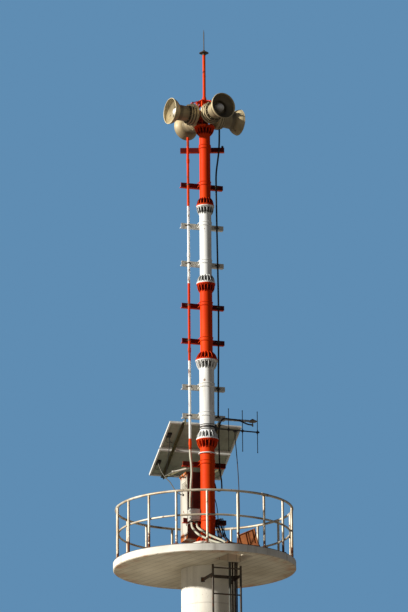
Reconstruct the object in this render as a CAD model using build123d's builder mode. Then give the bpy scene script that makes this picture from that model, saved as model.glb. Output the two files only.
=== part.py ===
"""Civil defense siren tower: a round concrete column with a railed platform, and a flanged mast with four horns."""

import os
from math import cos, radians, sin, sqrt, tan

from build123d import *

os.makedirs("parts", exist_ok=True)

# Shared clearances
touch = 0.3  # between curved faces that seat on each other
running = 0.05  # radial, between a hinge pin and its knuckles

# Column and platform slab; the slab sits a little off the column's axis
column_radius = 435
column_height = 15000
slab_radius = 1450
slab_thickness = 130
slab_offset_x = -60
slab_bevel = 12
deck = column_height + slab_thickness

# Guard rail
post_count = 18
post_first_azimuth = 2
post_ring_radius = 1400
post_radius = 19
post_foot_side = 76
post_foot_thickness = 8
top_rail_radius = 19
top_rail_height = 854
mid_rail_radius = 16
mid_rail_height = 470

# Hatch: its edges are measured outward and sideways from the column's axis, along its own azimuth
hatch_azimuth = 29
hatch_inner = 780
hatch_outer = 1260
hatch_left = -334
hatch_right = 141
curb_width = 35
curb_height = 35
leaf_thickness = 6
leaf_end_overlap = 25
leaf_middle_gap = 6
leaf_open_angle = 76
leaf_rib_depth = 22
leaf_rib_width = 6
leaf_rib_count = 3
pin_radius = 5
knuckle_wall = 4
knuckle_length = 60
hinge_lug_length = 24

# Cable slot through the slab, between the hatch and the column
slot_width = 190
slot_depth = 60
slot_centre_side = 158
conduit_side = 104
cable_side = 150
power_cable_sides = [190, 208]
coax_side = 228
line_bottom = 20
column_cable_radius = 13

# Ladder
ladder_azimuth = 20.3
ladder_reach = 824
ladder_width = 464
ladder_bottom = 300
ladder_top_gap = 80
stringer_radius = 17
rung_radius = 11
rung_spacing = 417
rung_top_gap = 130
bracket_levels = 6
bracket_top_gap = 260
bracket_bottom = 900
bracket_height = 50
bracket_thickness = 10
cable_bar_reach = 660
cable_bar_thickness = 8

# Mast plinth and the five flanged mast sections, counted from the bottom
plinth_radius = 290
plinth_height = 300
plinth_bevel = 20
tube_wall = 8
section_radii = [115, 118, 100, 95, 89]
section_tops = [2180, 3480, 4730, 6080, 7400]
joint_flange_radii = [178, 176, 153, 146, 166]
flange_thickness = 16
base_flange_radius = 215
base_gusset_height = 130
gusset_height = 112
gusset_thickness = 9
gusset_lip = 14
gusset_inset = 8
gusset_hollow = 1.5  # the hollow edge's radius over the gusset's height
gusset_counts = [14, 14, 12, 12, 12]
base_collar_height = 760
base_collar_band = 18
base_collar_reach = 6

# Crossbars: steel angles behind the mast, held by clamps; heights are above the slab's underside
bar_yaw = 18
bar_leg = 75
bar_leg_thickness = 7
bar_front = 128
bar_left = -372
bar_right = 349
bar_heights = [830, 1760, 2550, 3030, 3800, 4390, 5100, 5740, 6430]
top_bar_drop = 340  # below the top of the mast
top_bar_shift = -30
bars_white = [2550, 3030, 5100, 5740]
clamp_height = 40
clamp_thickness = 6
clamp_lug_width = 70

# Conduits and cables on the mast
riser_radius = 21
riser_side = -255
riser_bottom = 1985
riser_top_drop = 160  # below the top of the mast
riser_coupling = 60
riser_coupling_wall = 0.15
flexible_radius = 20
feeder_radius = 14
feeder_inlet_reach = 275
feeder_sides = [226, 232, 240, 248, 242, 230, 224]
sensor_cable_radius = 12
coax_radius = 7
coax_boom_reach = 479
power_cable_radius = 8
panel_lead_radius = 8

# Equipment on the crossbars
box_side = -212
box_width = 175
box_depth = 130
box_height = 190
box_centre = 900
cabinet_left = -274
cabinet_width = 450
cabinet_depth = 360
cabinet_bottom = 560
cabinet_height = 1070
cabinet_roof = 20
cabinet_roof_overhang = 15
cabinet_door_margin = 25
cabinet_door_proud = 8
upright_thickness = 8
upright_width = 40
upright_sides = [-200, 100]

# Solar panels and their rack; the panels slope down and away behind the mast
panel_length = 1210
panel_width = 630
panel_depth = 35
panel_frame = 28
panel_laminate = 6
panel_gap = 35
panel_tilt = 28
panel_centre_side = 50
panel_top_out = 215
panel_top_drop = 110  # below the middle of the crossbar that they hang from
rack_centre_side = -28
rack_rail_side = 285
rack_angle = 40
rack_angle_thickness = 5
rack_overrun = 30
rack_hanger_thickness = 6
terminal_box_size = (76, 100, 22)
terminal_box_side = -535

# Sensor arm, sensor head and antenna
arm_radius = 19
arm_start = 120
arm_end = 757
head_radius = 70
head_height = 24
head_dome_radius = 42
head_stem_radius = 8
head_stem_length = 70
boom_radius = 11
boom_yaw = 22
boom_length = 900
boom_height = 2338
boom_collar = 30
element_radius = 6
element_places = [370, 610, 870]
element_lengths = [700, 680, 686]

# Horn head, the four horns, and the pole above them; these heights are above the top of the mast
horn_rise = 188
horn_azimuths = [29, 119, 209, -61]
horn_mouth_reach = 646
horn_mouth_radius = 214
horn_wall = 5
horn_lip = 6
horn_flare_length = 130
horn_flare_curve = 165
horn_throat_radius = 130
horn_body_rear_radius = 124
horn_body_rear_reach = 338
horn_inner_depth = 190
driver_boss_radius = 45
driver_rear_reach = 148
driver_rear_radius = 118
driver_radii = [178, 170, 160]
driver_reaches = [190, 240, 286, 324]
driver_step = 6
plug_radius = 62
plug_front = 96
plug_tip_radius = 10
head_rise = 440
head_half_width = 95
head_angle = 33
head_angle_thickness = 5
head_post_radius = 44
head_top_half_width = 112
head_plate_thickness = 8
face_plate_half_width = 88
face_plate_height = 170
face_plate_thickness = 6
strap_width = 46
strap_pivot_reach = 215
strap_end_reach = 245
strap_drop = 48
strap_pivot_radius = 14
pole_radius = 24
pole_length = 850
cap_radius = 76
cap_height = 44
rod_radius = 8
rod_length = 366
rod_tip = 60


def keep(piece, name):
    piece.part.label = name
    export_step(piece.part, f"parts/{name}.step")


def outward(azimuth, reach, z=0.0):
    """A point at a reach from the axis; azimuth 0 faces the front (-Y) and grows towards +X."""
    return Vector(reach * sin(radians(azimuth)), -reach * cos(radians(azimuth)), z)


def across(azimuth, out, side, z=0.0):
    """A point measured outward along an azimuth and sideways from it."""
    return outward(azimuth, out, z) + outward(azimuth + 90, side)


def behind(side, back, z=0.0):
    """A point in the crossbars' own frame: sideways along the bars and back from the mast's axis."""
    turn = radians(bar_yaw)
    x = side * cos(turn) - back * sin(turn)
    y = side * sin(turn) + back * cos(turn)
    return Vector(x, y, column_height + z)


def fin_planes(count, z):
    """Upright planes around the axis: x runs outward and y runs up."""
    turns = [radians(360 * (k + 0.5) / count) for k in range(count)]
    return [Plane(origin=(0, 0, z), x_dir=(cos(a), sin(a), 0), z_dir=(sin(a), -cos(a), 0)) for a in turns]


def level_plane(azimuth, z):
    """A level plane whose x runs sideways from an azimuth and whose y runs back towards the axis and beyond."""
    return Plane(origin=(0, 0, z), x_dir=outward(azimuth + 90, 1), z_dir=(0, 0, 1))


def tangent_radii(points):
    """The largest smooth arc at each corner: 0.45 of the shorter run over the tangent of half the turn."""
    radii = []
    for before, corner, after in zip(points, points[1:], points[2:]):
        run_in = corner - before
        run_out = after - corner
        half_turn = radians(run_in.get_angle(run_out)) / 2
        radii.append(0.45 * min(run_in.length, run_out.length) / tan(half_turn))
    return radii


def tube_along(name, points, radius):
    """A cable or conduit of one radius whose centre follows straight runs joined by tangent arcs."""
    radii = tangent_radii(points)
    print(name, "bend radii", [round(r) for r in radii])
    with BuildPart() as tube:
        with BuildLine():
            route = FilletPolyline(*points, radius=radii)
        with BuildSketch(Plane(origin=route @ 0, z_dir=route % 0)):
            Circle(radius)
        sweep()
    return tube


# Concrete column and platform slab
with BuildPart() as column:
    with BuildSketch():
        Circle(column_radius)
    extrude(amount=column_height)
keep(column, "column")

hatch_plane = level_plane(hatch_azimuth, column_height)
hatch_mid_side = (hatch_left + hatch_right) / 2
hatch_mid_out = (hatch_inner + hatch_outer) / 2
hatch_width = hatch_right - hatch_left
hatch_length = hatch_outer - hatch_inner
slot_plane = level_plane(ladder_azimuth, column_height)
column_line_reach = cable_bar_reach + cable_bar_thickness / 2 + flexible_radius + touch

with BuildPart() as platform_slab:
    with BuildSketch(Plane.XY.offset(column_height)):
        with Locations((slab_offset_x, 0)):
            Circle(slab_radius)
    extrude(amount=slab_thickness)
    chamfer(platform_slab.edges().filter_by(GeomType.CIRCLE), slab_bevel)
    with BuildSketch(hatch_plane):
        with Locations((hatch_mid_side, -hatch_mid_out)):
            Rectangle(hatch_width, hatch_length)
    with BuildSketch(slot_plane):
        with Locations((slot_centre_side, -column_line_reach)):
            SlotOverall(slot_width, slot_depth)
    extrude(amount=slab_thickness, mode=Mode.SUBTRACT)
keep(platform_slab, "platform_slab")

# Guard rail: the posts stand outside the middle rail and end under the top rail
post_azimuths = [post_first_azimuth + 360 * k / post_count for k in range(post_count)]
slab_centre = Vector(slab_offset_x, 0, 0)
post_places = [outward(a, post_ring_radius, deck) + slab_centre for a in post_azimuths]
rail_plane = Plane(origin=(slab_offset_x, 0, deck + top_rail_height))
mid_rail_ring = post_ring_radius - post_radius - mid_rail_radius - touch

with BuildPart() as rail_posts:
    for azimuth, place in zip(post_azimuths, post_places):
        with BuildSketch(Plane(origin=place, x_dir=outward(azimuth, 1), z_dir=(0, 0, 1))):
            Rectangle(post_foot_side, post_foot_side)
        extrude(amount=post_foot_thickness)
        with BuildSketch(Plane(origin=place)):
            Circle(post_radius)
        extrude(amount=top_rail_height)
    with BuildSketch(Plane(origin=(slab_offset_x, 0, 0), x_dir=(1, 0, 0), z_dir=(0, -1, 0))):
        with Locations((post_ring_radius, deck + top_rail_height)):
            Circle(top_rail_radius + touch)
    revolve(axis=Axis((slab_offset_x, 0, 0), (0, 0, 1)), mode=Mode.SUBTRACT)
keep(rail_posts, "rail_posts")

with BuildPart() as top_rail:
    with Locations((slab_offset_x, 0, deck + top_rail_height)):
        Torus(post_ring_radius, top_rail_radius)
keep(top_rail, "top_rail")

with BuildPart() as mid_rail:
    with Locations((slab_offset_x, 0, deck + mid_rail_height)):
        Torus(mid_rail_ring, mid_rail_radius)
keep(mid_rail, "mid_rail")

# Hatch: an angle curb round the opening and two ribbed leaves on pins outside it
knuckle_radius = pin_radius + knuckle_wall
pin_side = curb_width + knuckle_radius
pin_height = deck + curb_height + leaf_thickness / 2 + touch
right_pin = hatch_right + pin_side
left_pin = hatch_left - pin_side
leaf_length = hatch_length + 2 * leaf_end_overlap
leaf_width = (right_pin - left_pin - leaf_middle_gap) / 2
lug_out = leaf_length / 2 + 2 + hinge_lug_length / 2

with BuildPart() as hatch_frame:
    with BuildSketch(level_plane(hatch_azimuth, deck)):
        with Locations((hatch_mid_side, -hatch_mid_out)):
            Rectangle(hatch_width + 2 * curb_width, hatch_length + 2 * curb_width)
            Rectangle(hatch_width, hatch_length, mode=Mode.SUBTRACT)
    extrude(amount=curb_height)
    for pin in (left_pin, right_pin):
        for end in (-1, 1):
            with BuildSketch(level_plane(hatch_azimuth, deck)):
                with Locations((pin, -hatch_mid_out + end * lug_out)):
                    Rectangle(2 * knuckle_radius, hinge_lug_length)
            extrude(amount=pin_height + knuckle_radius - deck)
        with BuildSketch(Plane(origin=across(hatch_azimuth, hatch_mid_out, pin, pin_height),
                               z_dir=outward(hatch_azimuth, 1))):
            Circle(pin_radius)
        extrude(amount=lug_out, both=True)
keep(hatch_frame, "hatch_frame")


def hatch_leaf(name, pin, inward, angle):
    """A ribbed steel leaf, built open by an angle; inward is +1 when it lies towards larger sides."""
    hinge = across(hatch_azimuth, hatch_mid_out, pin, pin_height)
    reach = outward(hatch_azimuth + 90, inward * cos(radians(angle))) + Vector(0, 0, sin(radians(angle)))
    along = outward(hatch_azimuth, -inward)
    face = Plane(origin=hinge, x_dir=reach, z_dir=reach.cross(along))
    rib_start = pin_side + 8
    rib_length = leaf_width - rib_start - 8
    rib_span = hatch_length - 60
    with BuildPart() as leaf:
        with BuildSketch(face.offset(-leaf_thickness / 2)):
            with Locations((leaf_width / 2, 0)):
                Rectangle(leaf_width, leaf_length)
        extrude(amount=leaf_thickness)
        with BuildSketch(face.offset(-leaf_thickness / 2)):
            with Locations((rib_start + rib_length / 2, 0)):
                with GridLocations(0, rib_span / (leaf_rib_count - 1), 1, leaf_rib_count):
                    Rectangle(rib_length, leaf_rib_width)
            with Locations((leaf_width - 11, 0)):
                Rectangle(leaf_rib_width, rib_span)
        extrude(amount=-leaf_rib_depth)
        for end in (-1, 0, 1):
            middle = end * (leaf_length - knuckle_length) / 2
            with BuildSketch(Plane(origin=hinge + along * (middle - knuckle_length / 2), z_dir=along)):
                Circle(knuckle_radius)
            extrude(amount=knuckle_length)
        with BuildSketch(Plane(origin=hinge, z_dir=along)):
            Circle(pin_radius + running)
        extrude(amount=leaf_length, both=True, mode=Mode.SUBTRACT)
        with BuildSketch(face.offset(-leaf_thickness)):
            for end in (-1, 1):
                with Locations((0, end * (leaf_length - knuckle_length) / 4)):
                    Rectangle(2 * knuckle_radius + 2, (leaf_length - 3 * knuckle_length) / 2)
        extrude(amount=2 * leaf_thickness, mode=Mode.SUBTRACT)
    keep(leaf, name)


hatch_leaf("hatch_leaf_right", right_pin, -1, leaf_open_angle)
hatch_leaf("hatch_leaf_left", left_pin, 1, 0)

# Ladder on the column, with brackets that also carry a bar for the cables
ladder_top = column_height - ladder_top_gap
rung_top = column_height - rung_top_gap
rung_count = int((rung_top - ladder_bottom - rung_radius) // rung_spacing) + 1
half_ladder = ladder_width / 2

with BuildPart() as ladder_stringers:
    with BuildSketch(level_plane(ladder_azimuth, ladder_bottom)):
        for side in (-half_ladder, half_ladder):
            with Locations((side, -ladder_reach)):
                Circle(stringer_radius)
    extrude(amount=ladder_top - ladder_bottom)
keep(ladder_stringers, "ladder_stringers")

with BuildPart() as ladder_rungs:
    rung_length = ladder_width - 2 * stringer_radius - 2 * touch
    for k in range(rung_count):
        middle = outward(ladder_azimuth, ladder_reach, rung_top - k * rung_spacing)
        with BuildSketch(Plane(origin=middle, z_dir=outward(ladder_azimuth + 90, 1))):
            Circle(rung_radius)
        extrude(amount=rung_length / 2, both=True)
keep(ladder_rungs, "ladder_rungs")

bracket_top = column_height - bracket_top_gap
bracket_step = (bracket_top - bracket_bottom) / (bracket_levels - 1)
bracket_root = sqrt(column_radius**2 - half_ladder**2) - 40

with BuildPart() as ladder_brackets:
    for k in range(bracket_levels):
        level = level_plane(ladder_azimuth, bracket_bottom + k * bracket_step)
        with BuildSketch(level):
            for side in (-half_ladder, half_ladder):
                with Locations((side, -(bracket_root + ladder_reach - stringer_radius - touch) / 2)):
                    Rectangle(bracket_thickness, ladder_reach - stringer_radius - touch - bracket_root)
            with Locations((0, -cable_bar_reach)):
                Rectangle(ladder_width, cable_bar_thickness)
        extrude(amount=bracket_height)
    with BuildSketch(Plane.XY):
        Circle(column_radius + touch)
    extrude(amount=column_height, mode=Mode.SUBTRACT)
keep(ladder_brackets, "ladder_brackets")

# Mast plinth and the five flanged sections
with BuildPart() as mast_plinth:
    with BuildSketch(Plane.XY.offset(deck)):
        Circle(plinth_radius)
    extrude(amount=plinth_height)
    chamfer(mast_plinth.edges().group_by(Axis.Z)[-1], plinth_bevel)
keep(mast_plinth, "mast_plinth")


def gusset_outline(tube_radius, flange_radius, height, up):
    """A bowl-shaped stiffener: a short lip at the flange, then a hollow curve in to the tube."""
    inner = tube_radius - 2
    rim = flange_radius - gusset_inset
    with BuildSketch() as outline:
        with BuildLine():
            Polyline((inner, up * height), (inner, 0), (rim, 0), (rim, up * gusset_lip))
            RadiusArc((rim, up * gusset_lip), (tube_radius, up * height), up * height * gusset_hollow)
            Line((tube_radius, up * height), (inner, up * height))
        make_face()
    return outline.sketch


def mast_section(number, bottom, radius, lower_flange, upper_flange, lower_gusset, counts):
    """A steel tube with a stiffened flange at each end."""
    top = column_height + section_tops[number]
    with BuildPart() as section:
        with BuildSketch(Plane.XY.offset(bottom)):
            Circle(radius)
        extrude(amount=top - bottom)
        for z, flange_radius in ((bottom, lower_flange), (top - flange_thickness, upper_flange)):
            with BuildSketch(Plane.XY.offset(z)):
                Circle(flange_radius)
            extrude(amount=flange_thickness)
        with BuildSketch(*fin_planes(counts[0], bottom + flange_thickness)):
            add(gusset_outline(radius, lower_flange, lower_gusset, 1))
        extrude(amount=gusset_thickness / 2, both=True)
        with BuildSketch(*fin_planes(counts[1], top - flange_thickness)):
            add(gusset_outline(radius, upper_flange, gusset_height, -1))
        extrude(amount=gusset_thickness / 2, both=True)
        if number == 0:
            with BuildSketch(Plane.XY.offset(deck + base_collar_height)):
                Circle(radius + base_collar_reach)
            extrude(amount=base_collar_band)
        with BuildSketch(Plane.XY.offset(bottom)):
            Circle(radius - tube_wall)
        extrude(amount=top - bottom, mode=Mode.SUBTRACT)
    keep(section, f"mast_section_{number + 1}")


section_bottom = deck + plinth_height
lower_radius = base_flange_radius
lower_gusset = base_gusset_height
lower_count = gusset_counts[0]
for number, radius in enumerate(section_radii):
    upper_radius = joint_flange_radii[number]
    pair = (lower_count, gusset_counts[number])
    mast_section(number, section_bottom, radius, lower_radius, upper_radius, lower_gusset, pair)
    section_bottom = column_height + section_tops[number]
    lower_radius = upper_radius
    lower_gusset = gusset_height
    lower_count = gusset_counts[number]

# Crossbars and their clamps
mast_top = section_tops[-1]
top_bar_height = mast_top - top_bar_drop
bar_places = [(z, bar_yaw, 0) for z in bar_heights] + [(top_bar_height, 0, top_bar_shift)]


def tube_radius_at(z):
    return next(radius for radius, top in zip(section_radii, section_tops) if z < top)


with BuildSketch() as bar_profile:
    with BuildLine():
        Polyline((bar_front, 0), (bar_front + bar_leg, 0), (bar_front + bar_leg, bar_leg_thickness),
                 (bar_front + bar_leg_thickness, bar_leg_thickness),
                 (bar_front + bar_leg_thickness, bar_leg), (bar_front, bar_leg), close=True)
    make_face()

for colour, white in (("red", False), ("white", True)):
    chosen = [place for place in bar_places if (place[0] in bars_white) == white]
    with BuildPart() as crossbars:
        for z, yaw, shift in chosen:
            along = Vector(cos(radians(yaw)), sin(radians(yaw)), 0)
            start = along * (bar_left + shift) + Vector(0, 0, column_height + z - bar_leg / 2)
            with BuildSketch(Plane(origin=start, x_dir=Vector(0, 0, 1).cross(along), z_dir=along)):
                add(bar_profile.sketch)
            extrude(amount=bar_right - bar_left)
    keep(crossbars, f"crossbars_{colour}")
    with BuildPart() as bar_clamps:
        for z, yaw, shift in chosen:
            along = Vector(cos(radians(yaw)), sin(radians(yaw)), 0)
            band_inner = tube_radius_at(z) + touch
            with BuildSketch(Plane(origin=(0, 0, column_height + z - clamp_height / 2), x_dir=along)):
                Circle(band_inner + clamp_thickness)
                with Locations((0, bar_front / 2)):
                    Rectangle(clamp_lug_width, bar_front)
                Circle(band_inner, mode=Mode.SUBTRACT)
            extrude(amount=clamp_height)
    keep(bar_clamps, f"bar_clamps_{colour}")

# Left riser conduit, its flexible tail and the junction box on the lowest crossbar
riser_back = bar_front - riser_radius - touch
with BuildPart() as riser_conduit:
    with BuildSketch(Plane(origin=behind(riser_side, riser_back, riser_bottom))):
        Circle(riser_radius)
    extrude(amount=mast_top - riser_top_drop - riser_bottom)
    with BuildSketch(Plane(origin=behind(riser_side, riser_back, riser_bottom))):
        Circle(riser_radius + riser_coupling_wall)
    extrude(amount=riser_coupling)
keep(riser_conduit, "riser_conduit")

box_back = bar_front - box_depth / 2
box_top = box_centre + box_height / 2
box_bottom = box_centre - box_height / 2
box_plane = Plane(origin=behind(box_side, box_back, box_bottom), x_dir=behind(1, 0) - behind(0, 0),
                  z_dir=(0, 0, 1))
with BuildPart() as junction_box:
    with BuildSketch(box_plane):
        Rectangle(box_width, box_depth)
    extrude(amount=box_height)
    fillet(junction_box.edges().filter_by(Axis.Z), 8)
keep(junction_box, "junction_box")

flexible_route = [behind(riser_side, riser_back, riser_bottom), behind(riser_side, riser_back, 1880),
                  behind(-240, 90, 1740), behind(-243, 66, 1590), behind(-262, 50, 1430),
                  behind(-272, 46, 1270), behind(-278, 54, 1120), behind(-278, 54, box_top)]
riser_tail = tube_along("riser tail", flexible_route, flexible_radius)

line_top = deck + 20
conduit_end = across(ladder_azimuth, column_line_reach, conduit_side, line_top)
cable_end = across(ladder_azimuth, column_line_reach, cable_side, line_top)
outlet_left = behind(box_side - 42, box_back, box_bottom)
outlet_right = behind(box_side + 42, box_back, box_bottom)
lift = Vector(0, 0, column_height)
left_route = [outlet_left, outlet_left - Vector(0, 0, 85), Vector(-226, -130, 640) + lift,
              Vector(-165, -232, 545) + lift, Vector(-62, -312, 470) + lift, Vector(60, -385, 400) + lift,
              Vector(168, -458, 348) + lift, conduit_end + Vector(-85, 75, 150), conduit_end + Vector(0, 0, 100),
              conduit_end]
right_route = [outlet_right, outlet_right - Vector(0, 0, 80), Vector(-132, -112, 650) + lift,
               Vector(-72, -205, 590) + lift, Vector(14, -282, 520) + lift, Vector(128, -352, 450) + lift,
               Vector(228, -424, 394) + lift, cable_end + Vector(-78, 90, 176), cable_end + Vector(0, 0, 112),
               cable_end]
left_tail = tube_along("left box conduit", left_route, flexible_radius)
right_tail = tube_along("right box conduit", right_route, flexible_radius)
with BuildPart() as flexible_conduits:
    add(riser_tail.part)
    add(left_tail.part)
    add(right_tail.part)
keep(flexible_conduits, "flexible_conduits")

# Conduit and cable down the column, carried on the brackets' cable bars
with BuildPart() as column_conduit:
    with BuildSketch(level_plane(ladder_azimuth, line_bottom)):
        with Locations((conduit_side, -column_line_reach)):
            Circle(flexible_radius)
    extrude(amount=line_top - line_bottom)
keep(column_conduit, "column_conduit")

with BuildPart() as column_cable:
    with BuildSketch(level_plane(ladder_azimuth, line_bottom)):
        with Locations((cable_side, -column_line_reach)):
            Circle(column_cable_radius)
    extrude(amount=line_top - line_bottom)
keep(column_cable, "column_cable")

# Feeder cable from the horns down the right side, and the sensor's black cable
feeder_back = bar_front - feeder_radius - touch
horn_height = mast_top + horn_rise
inlet_drop = driver_radii[1] + touch
feeder_inlet = outward(horn_azimuths[1], feeder_inlet_reach, column_height + horn_height - inlet_drop)
feeder_route = [feeder_inlet, feeder_inlet - Vector(0, 0, 60),
                Vector(238, 98, top_bar_height + 110) + lift, Vector(226, 98, top_bar_height - 80) + lift,
                Vector(180, 150, top_bar_height - 400) + lift]
feeder_route += [behind(side, feeder_back, z) for side, z in zip(feeder_sides, reversed(bar_heights[2:]))]
feeder_cable = tube_along("feeder cable", feeder_route, feeder_radius)
keep(feeder_cable, "feeder_cable")

# Cabinet behind the two lowest crossbars, hung on two uprights
upright_back = bar_front + bar_leg
cabinet_front = upright_back + upright_thickness
cabinet_mid_side = cabinet_left + cabinet_width / 2
cabinet_mid_back = cabinet_front + cabinet_depth / 2
bar_direction = behind(1, 0) - behind(0, 0)
with BuildPart() as cabinet_uprights:
    for side in upright_sides:
        place = Plane(origin=behind(side, upright_back + upright_thickness / 2, 770), x_dir=bar_direction,
                      z_dir=(0, 0, 1))
        with BuildSketch(place):
            Rectangle(upright_width, upright_thickness)
        extrude(amount=1030)
keep(cabinet_uprights, "cabinet_uprights")

with BuildPart() as cabinet:
    floor = Plane(origin=behind(cabinet_mid_side, cabinet_mid_back, cabinet_bottom), x_dir=bar_direction,
                  z_dir=(0, 0, 1))
    with BuildSketch(floor):
        Rectangle(cabinet_width, cabinet_depth)
    extrude(amount=cabinet_height)
    with BuildSketch(floor.offset(cabinet_height)):
        with Locations((0, cabinet_roof_overhang / 2)):
            Rectangle(cabinet_width + 2 * cabinet_roof_overhang, cabinet_depth + cabinet_roof_overhang)
    extrude(amount=cabinet_roof)
    door_mid = behind(cabinet_mid_side, cabinet_front + cabinet_depth, cabinet_bottom + cabinet_height / 2)
    with BuildSketch(Plane(origin=door_mid, x_dir=bar_direction, z_dir=behind(0, 1) - behind(0, 0))):
        Rectangle(cabinet_width - 2 * cabinet_door_margin, cabinet_height - 2 * cabinet_door_margin)
    extrude(amount=cabinet_door_proud)
keep(cabinet, "cabinet")

# Solar panels: the panel plane's x runs along the bars and its y runs up the slope
tilt = radians(panel_tilt)
down_slope = (behind(0, 1) - behind(0, 0)) * cos(tilt) - Vector(0, 0, sin(tilt))
panel_normal = (behind(0, 1) - behind(0, 0)) * sin(tilt) + Vector(0, 0, cos(tilt))
panel_top_height = bar_heights[2] - panel_top_drop
panel_top = behind(panel_centre_side, panel_top_out, panel_top_height)


def panel_plane(down, raised=0.0):
    return Plane(origin=panel_top + down_slope * down + panel_normal * raised, x_dir=bar_direction,
                 z_dir=panel_normal)


panel_middles = [panel_width / 2, panel_width * 1.5 + panel_gap]
with BuildPart() as panel_frames:
    for middle in panel_middles:
        with BuildSketch(panel_plane(middle)):
            Rectangle(panel_length, panel_width)
            Rectangle(panel_length - 2 * panel_frame, panel_width - 2 * panel_frame, mode=Mode.SUBTRACT)
        extrude(amount=panel_depth)
        with BuildSketch(panel_plane(middle, panel_depth - panel_laminate - 2)):
            Rectangle(panel_length - 12, panel_width - 12)
        extrude(amount=panel_laminate + 2, mode=Mode.SUBTRACT)
keep(panel_frames, "panel_frames")

with BuildPart() as panel_laminates:
    for middle in panel_middles:
        with BuildSketch(panel_plane(middle, panel_depth - panel_laminate - 2)):
            Rectangle(panel_length - 12, panel_width - 12)
        extrude(amount=panel_laminate)
keep(panel_laminates, "panel_laminates")

with BuildPart() as panel_terminal_boxes:
    for middle in panel_middles:
        with BuildSketch(panel_plane(middle, panel_depth - panel_laminate - 2)):
            with Locations((terminal_box_side, 0)):
                Rectangle(terminal_box_size[0], terminal_box_size[1])
        extrude(amount=-terminal_box_size[2])
keep(panel_terminal_boxes, "panel_terminal_boxes")

# Rack: on each side a sloping angle under the panels, hung from one crossbar and braced from the next one down
rack_length = 2 * panel_width + panel_gap + 2 * rack_overrun
hanger_under = bar_heights[2] - bar_leg / 2
strut_under = bar_heights[1] - bar_leg / 2
slope_back = cos(tilt)
slope_drop = sin(tilt)


def under_rail(down, depth):
    """A point (back, height) at a distance down the slope and a depth below the panels' underside."""
    back = panel_top_out + down * slope_back - depth * slope_drop
    return back, panel_top_height - down * slope_drop - depth * slope_back


with BuildPart() as panel_rack:
    for hand in (-1, 1):
        side = rack_centre_side + hand * rack_rail_side
        start = panel_plane(-rack_overrun).from_local_coords(Vector(side - panel_centre_side, 0, 0))
        with BuildSketch(Plane(origin=start, x_dir=bar_direction * hand, z_dir=down_slope)):
            with BuildLine():
                Polyline((0, 0), (rack_angle, 0), (rack_angle, hand * rack_angle_thickness),
                         (rack_angle_thickness, hand * rack_angle_thickness),
                         (rack_angle_thickness, hand * rack_angle), (0, hand * rack_angle), close=True)
            make_face()
        extrude(amount=rack_length)
        with BuildSketch(Plane(origin=behind(side, 0), x_dir=behind(0, 1) - behind(0, 0), z_dir=bar_direction)):
            with BuildLine():
                Polyline((bar_front + 14, hanger_under), (bar_front + 64, hanger_under), under_rail(-8, 6),
                         under_rail(20, rack_angle - 4), under_rail(-rack_overrun, rack_angle),
                         (bar_front + 14, hanger_under - 90), close=True)
            make_face()
            with BuildLine():
                Polyline((bar_front + 10, strut_under), (bar_front + bar_leg, strut_under),
                         under_rail(rack_length - 95, rack_angle - 2), under_rail(rack_length - 62, rack_angle - 26),
                         under_rail(rack_length - 40, rack_angle - 2), (bar_front + 10, strut_under - rack_angle),
                         close=True)
            make_face()
        extrude(amount=-hand * rack_hanger_thickness)
keep(panel_rack, "panel_rack")

# Sensor on an arm that lies in the angle of a crossbar
arm_back = bar_front + bar_leg_thickness + arm_radius + touch
arm_level = bar_heights[2] - bar_leg / 2 + bar_leg_thickness + arm_radius + touch
with BuildPart() as sensor_arm:
    with BuildSketch(Plane(origin=behind(arm_start, arm_back, arm_level), z_dir=bar_direction)):
        Circle(arm_radius)
    extrude(amount=arm_end - arm_start)
keep(sensor_arm, "sensor_arm")

head_place = behind(arm_end + head_radius - 8, arm_back, arm_level)
with BuildPart() as sensor_head:
    with BuildSketch(Plane(origin=head_place, x_dir=bar_direction, z_dir=behind(0, -1) - behind(0, 0))):
        with BuildLine():
            Polyline((0, -head_height / 2), (head_radius - 8, -head_height / 2), (head_radius, 0),
                     (head_radius, head_height / 4), (head_dome_radius, head_height / 2),
                     (head_dome_radius * 0.85, head_height), (head_dome_radius * 0.5, head_height * 1.35),
                     (0, head_height * 1.5), close=True)
        make_face()
    revolve(axis=Axis(head_place, (0, 0, 1)))
    with BuildSketch(Plane(origin=head_place - Vector(0, 0, head_height / 2))):
        Circle(head_stem_radius)
    extrude(amount=-head_stem_length)
    with BuildSketch(Plane(origin=behind(arm_end, arm_back, arm_level), z_dir=bar_direction)):
        Circle(arm_radius + 1)
    extrude(amount=-arm_end, mode=Mode.SUBTRACT)
keep(sensor_head, "sensor_head")

# Antenna: a level boom on a collar round the mast, with three upright elements
boom_direction = Vector(cos(radians(boom_yaw)), sin(radians(boom_yaw)), 0)
boom_level = column_height + boom_height
with BuildPart() as antenna:
    with BuildSketch(Plane.XY.offset(boom_level - boom_collar / 2)):
        Circle(section_radii[1] + touch + clamp_thickness)
    extrude(amount=boom_collar)
    with BuildSketch(Plane(origin=(0, 0, boom_level), z_dir=boom_direction)):
        Circle(boom_radius)
    extrude(amount=boom_length)
    with BuildSketch(Plane.XY.offset(boom_level - boom_collar)):
        Circle(section_radii[1] + touch)
    extrude(amount=2 * boom_collar, mode=Mode.SUBTRACT)
    for place, length in zip(element_places, element_lengths):
        with BuildSketch(Plane(origin=boom_direction * place + Vector(0, 0, boom_level - length / 2))):
            Circle(element_radius)
        extrude(amount=length)
keep(antenna, "antenna")

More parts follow.
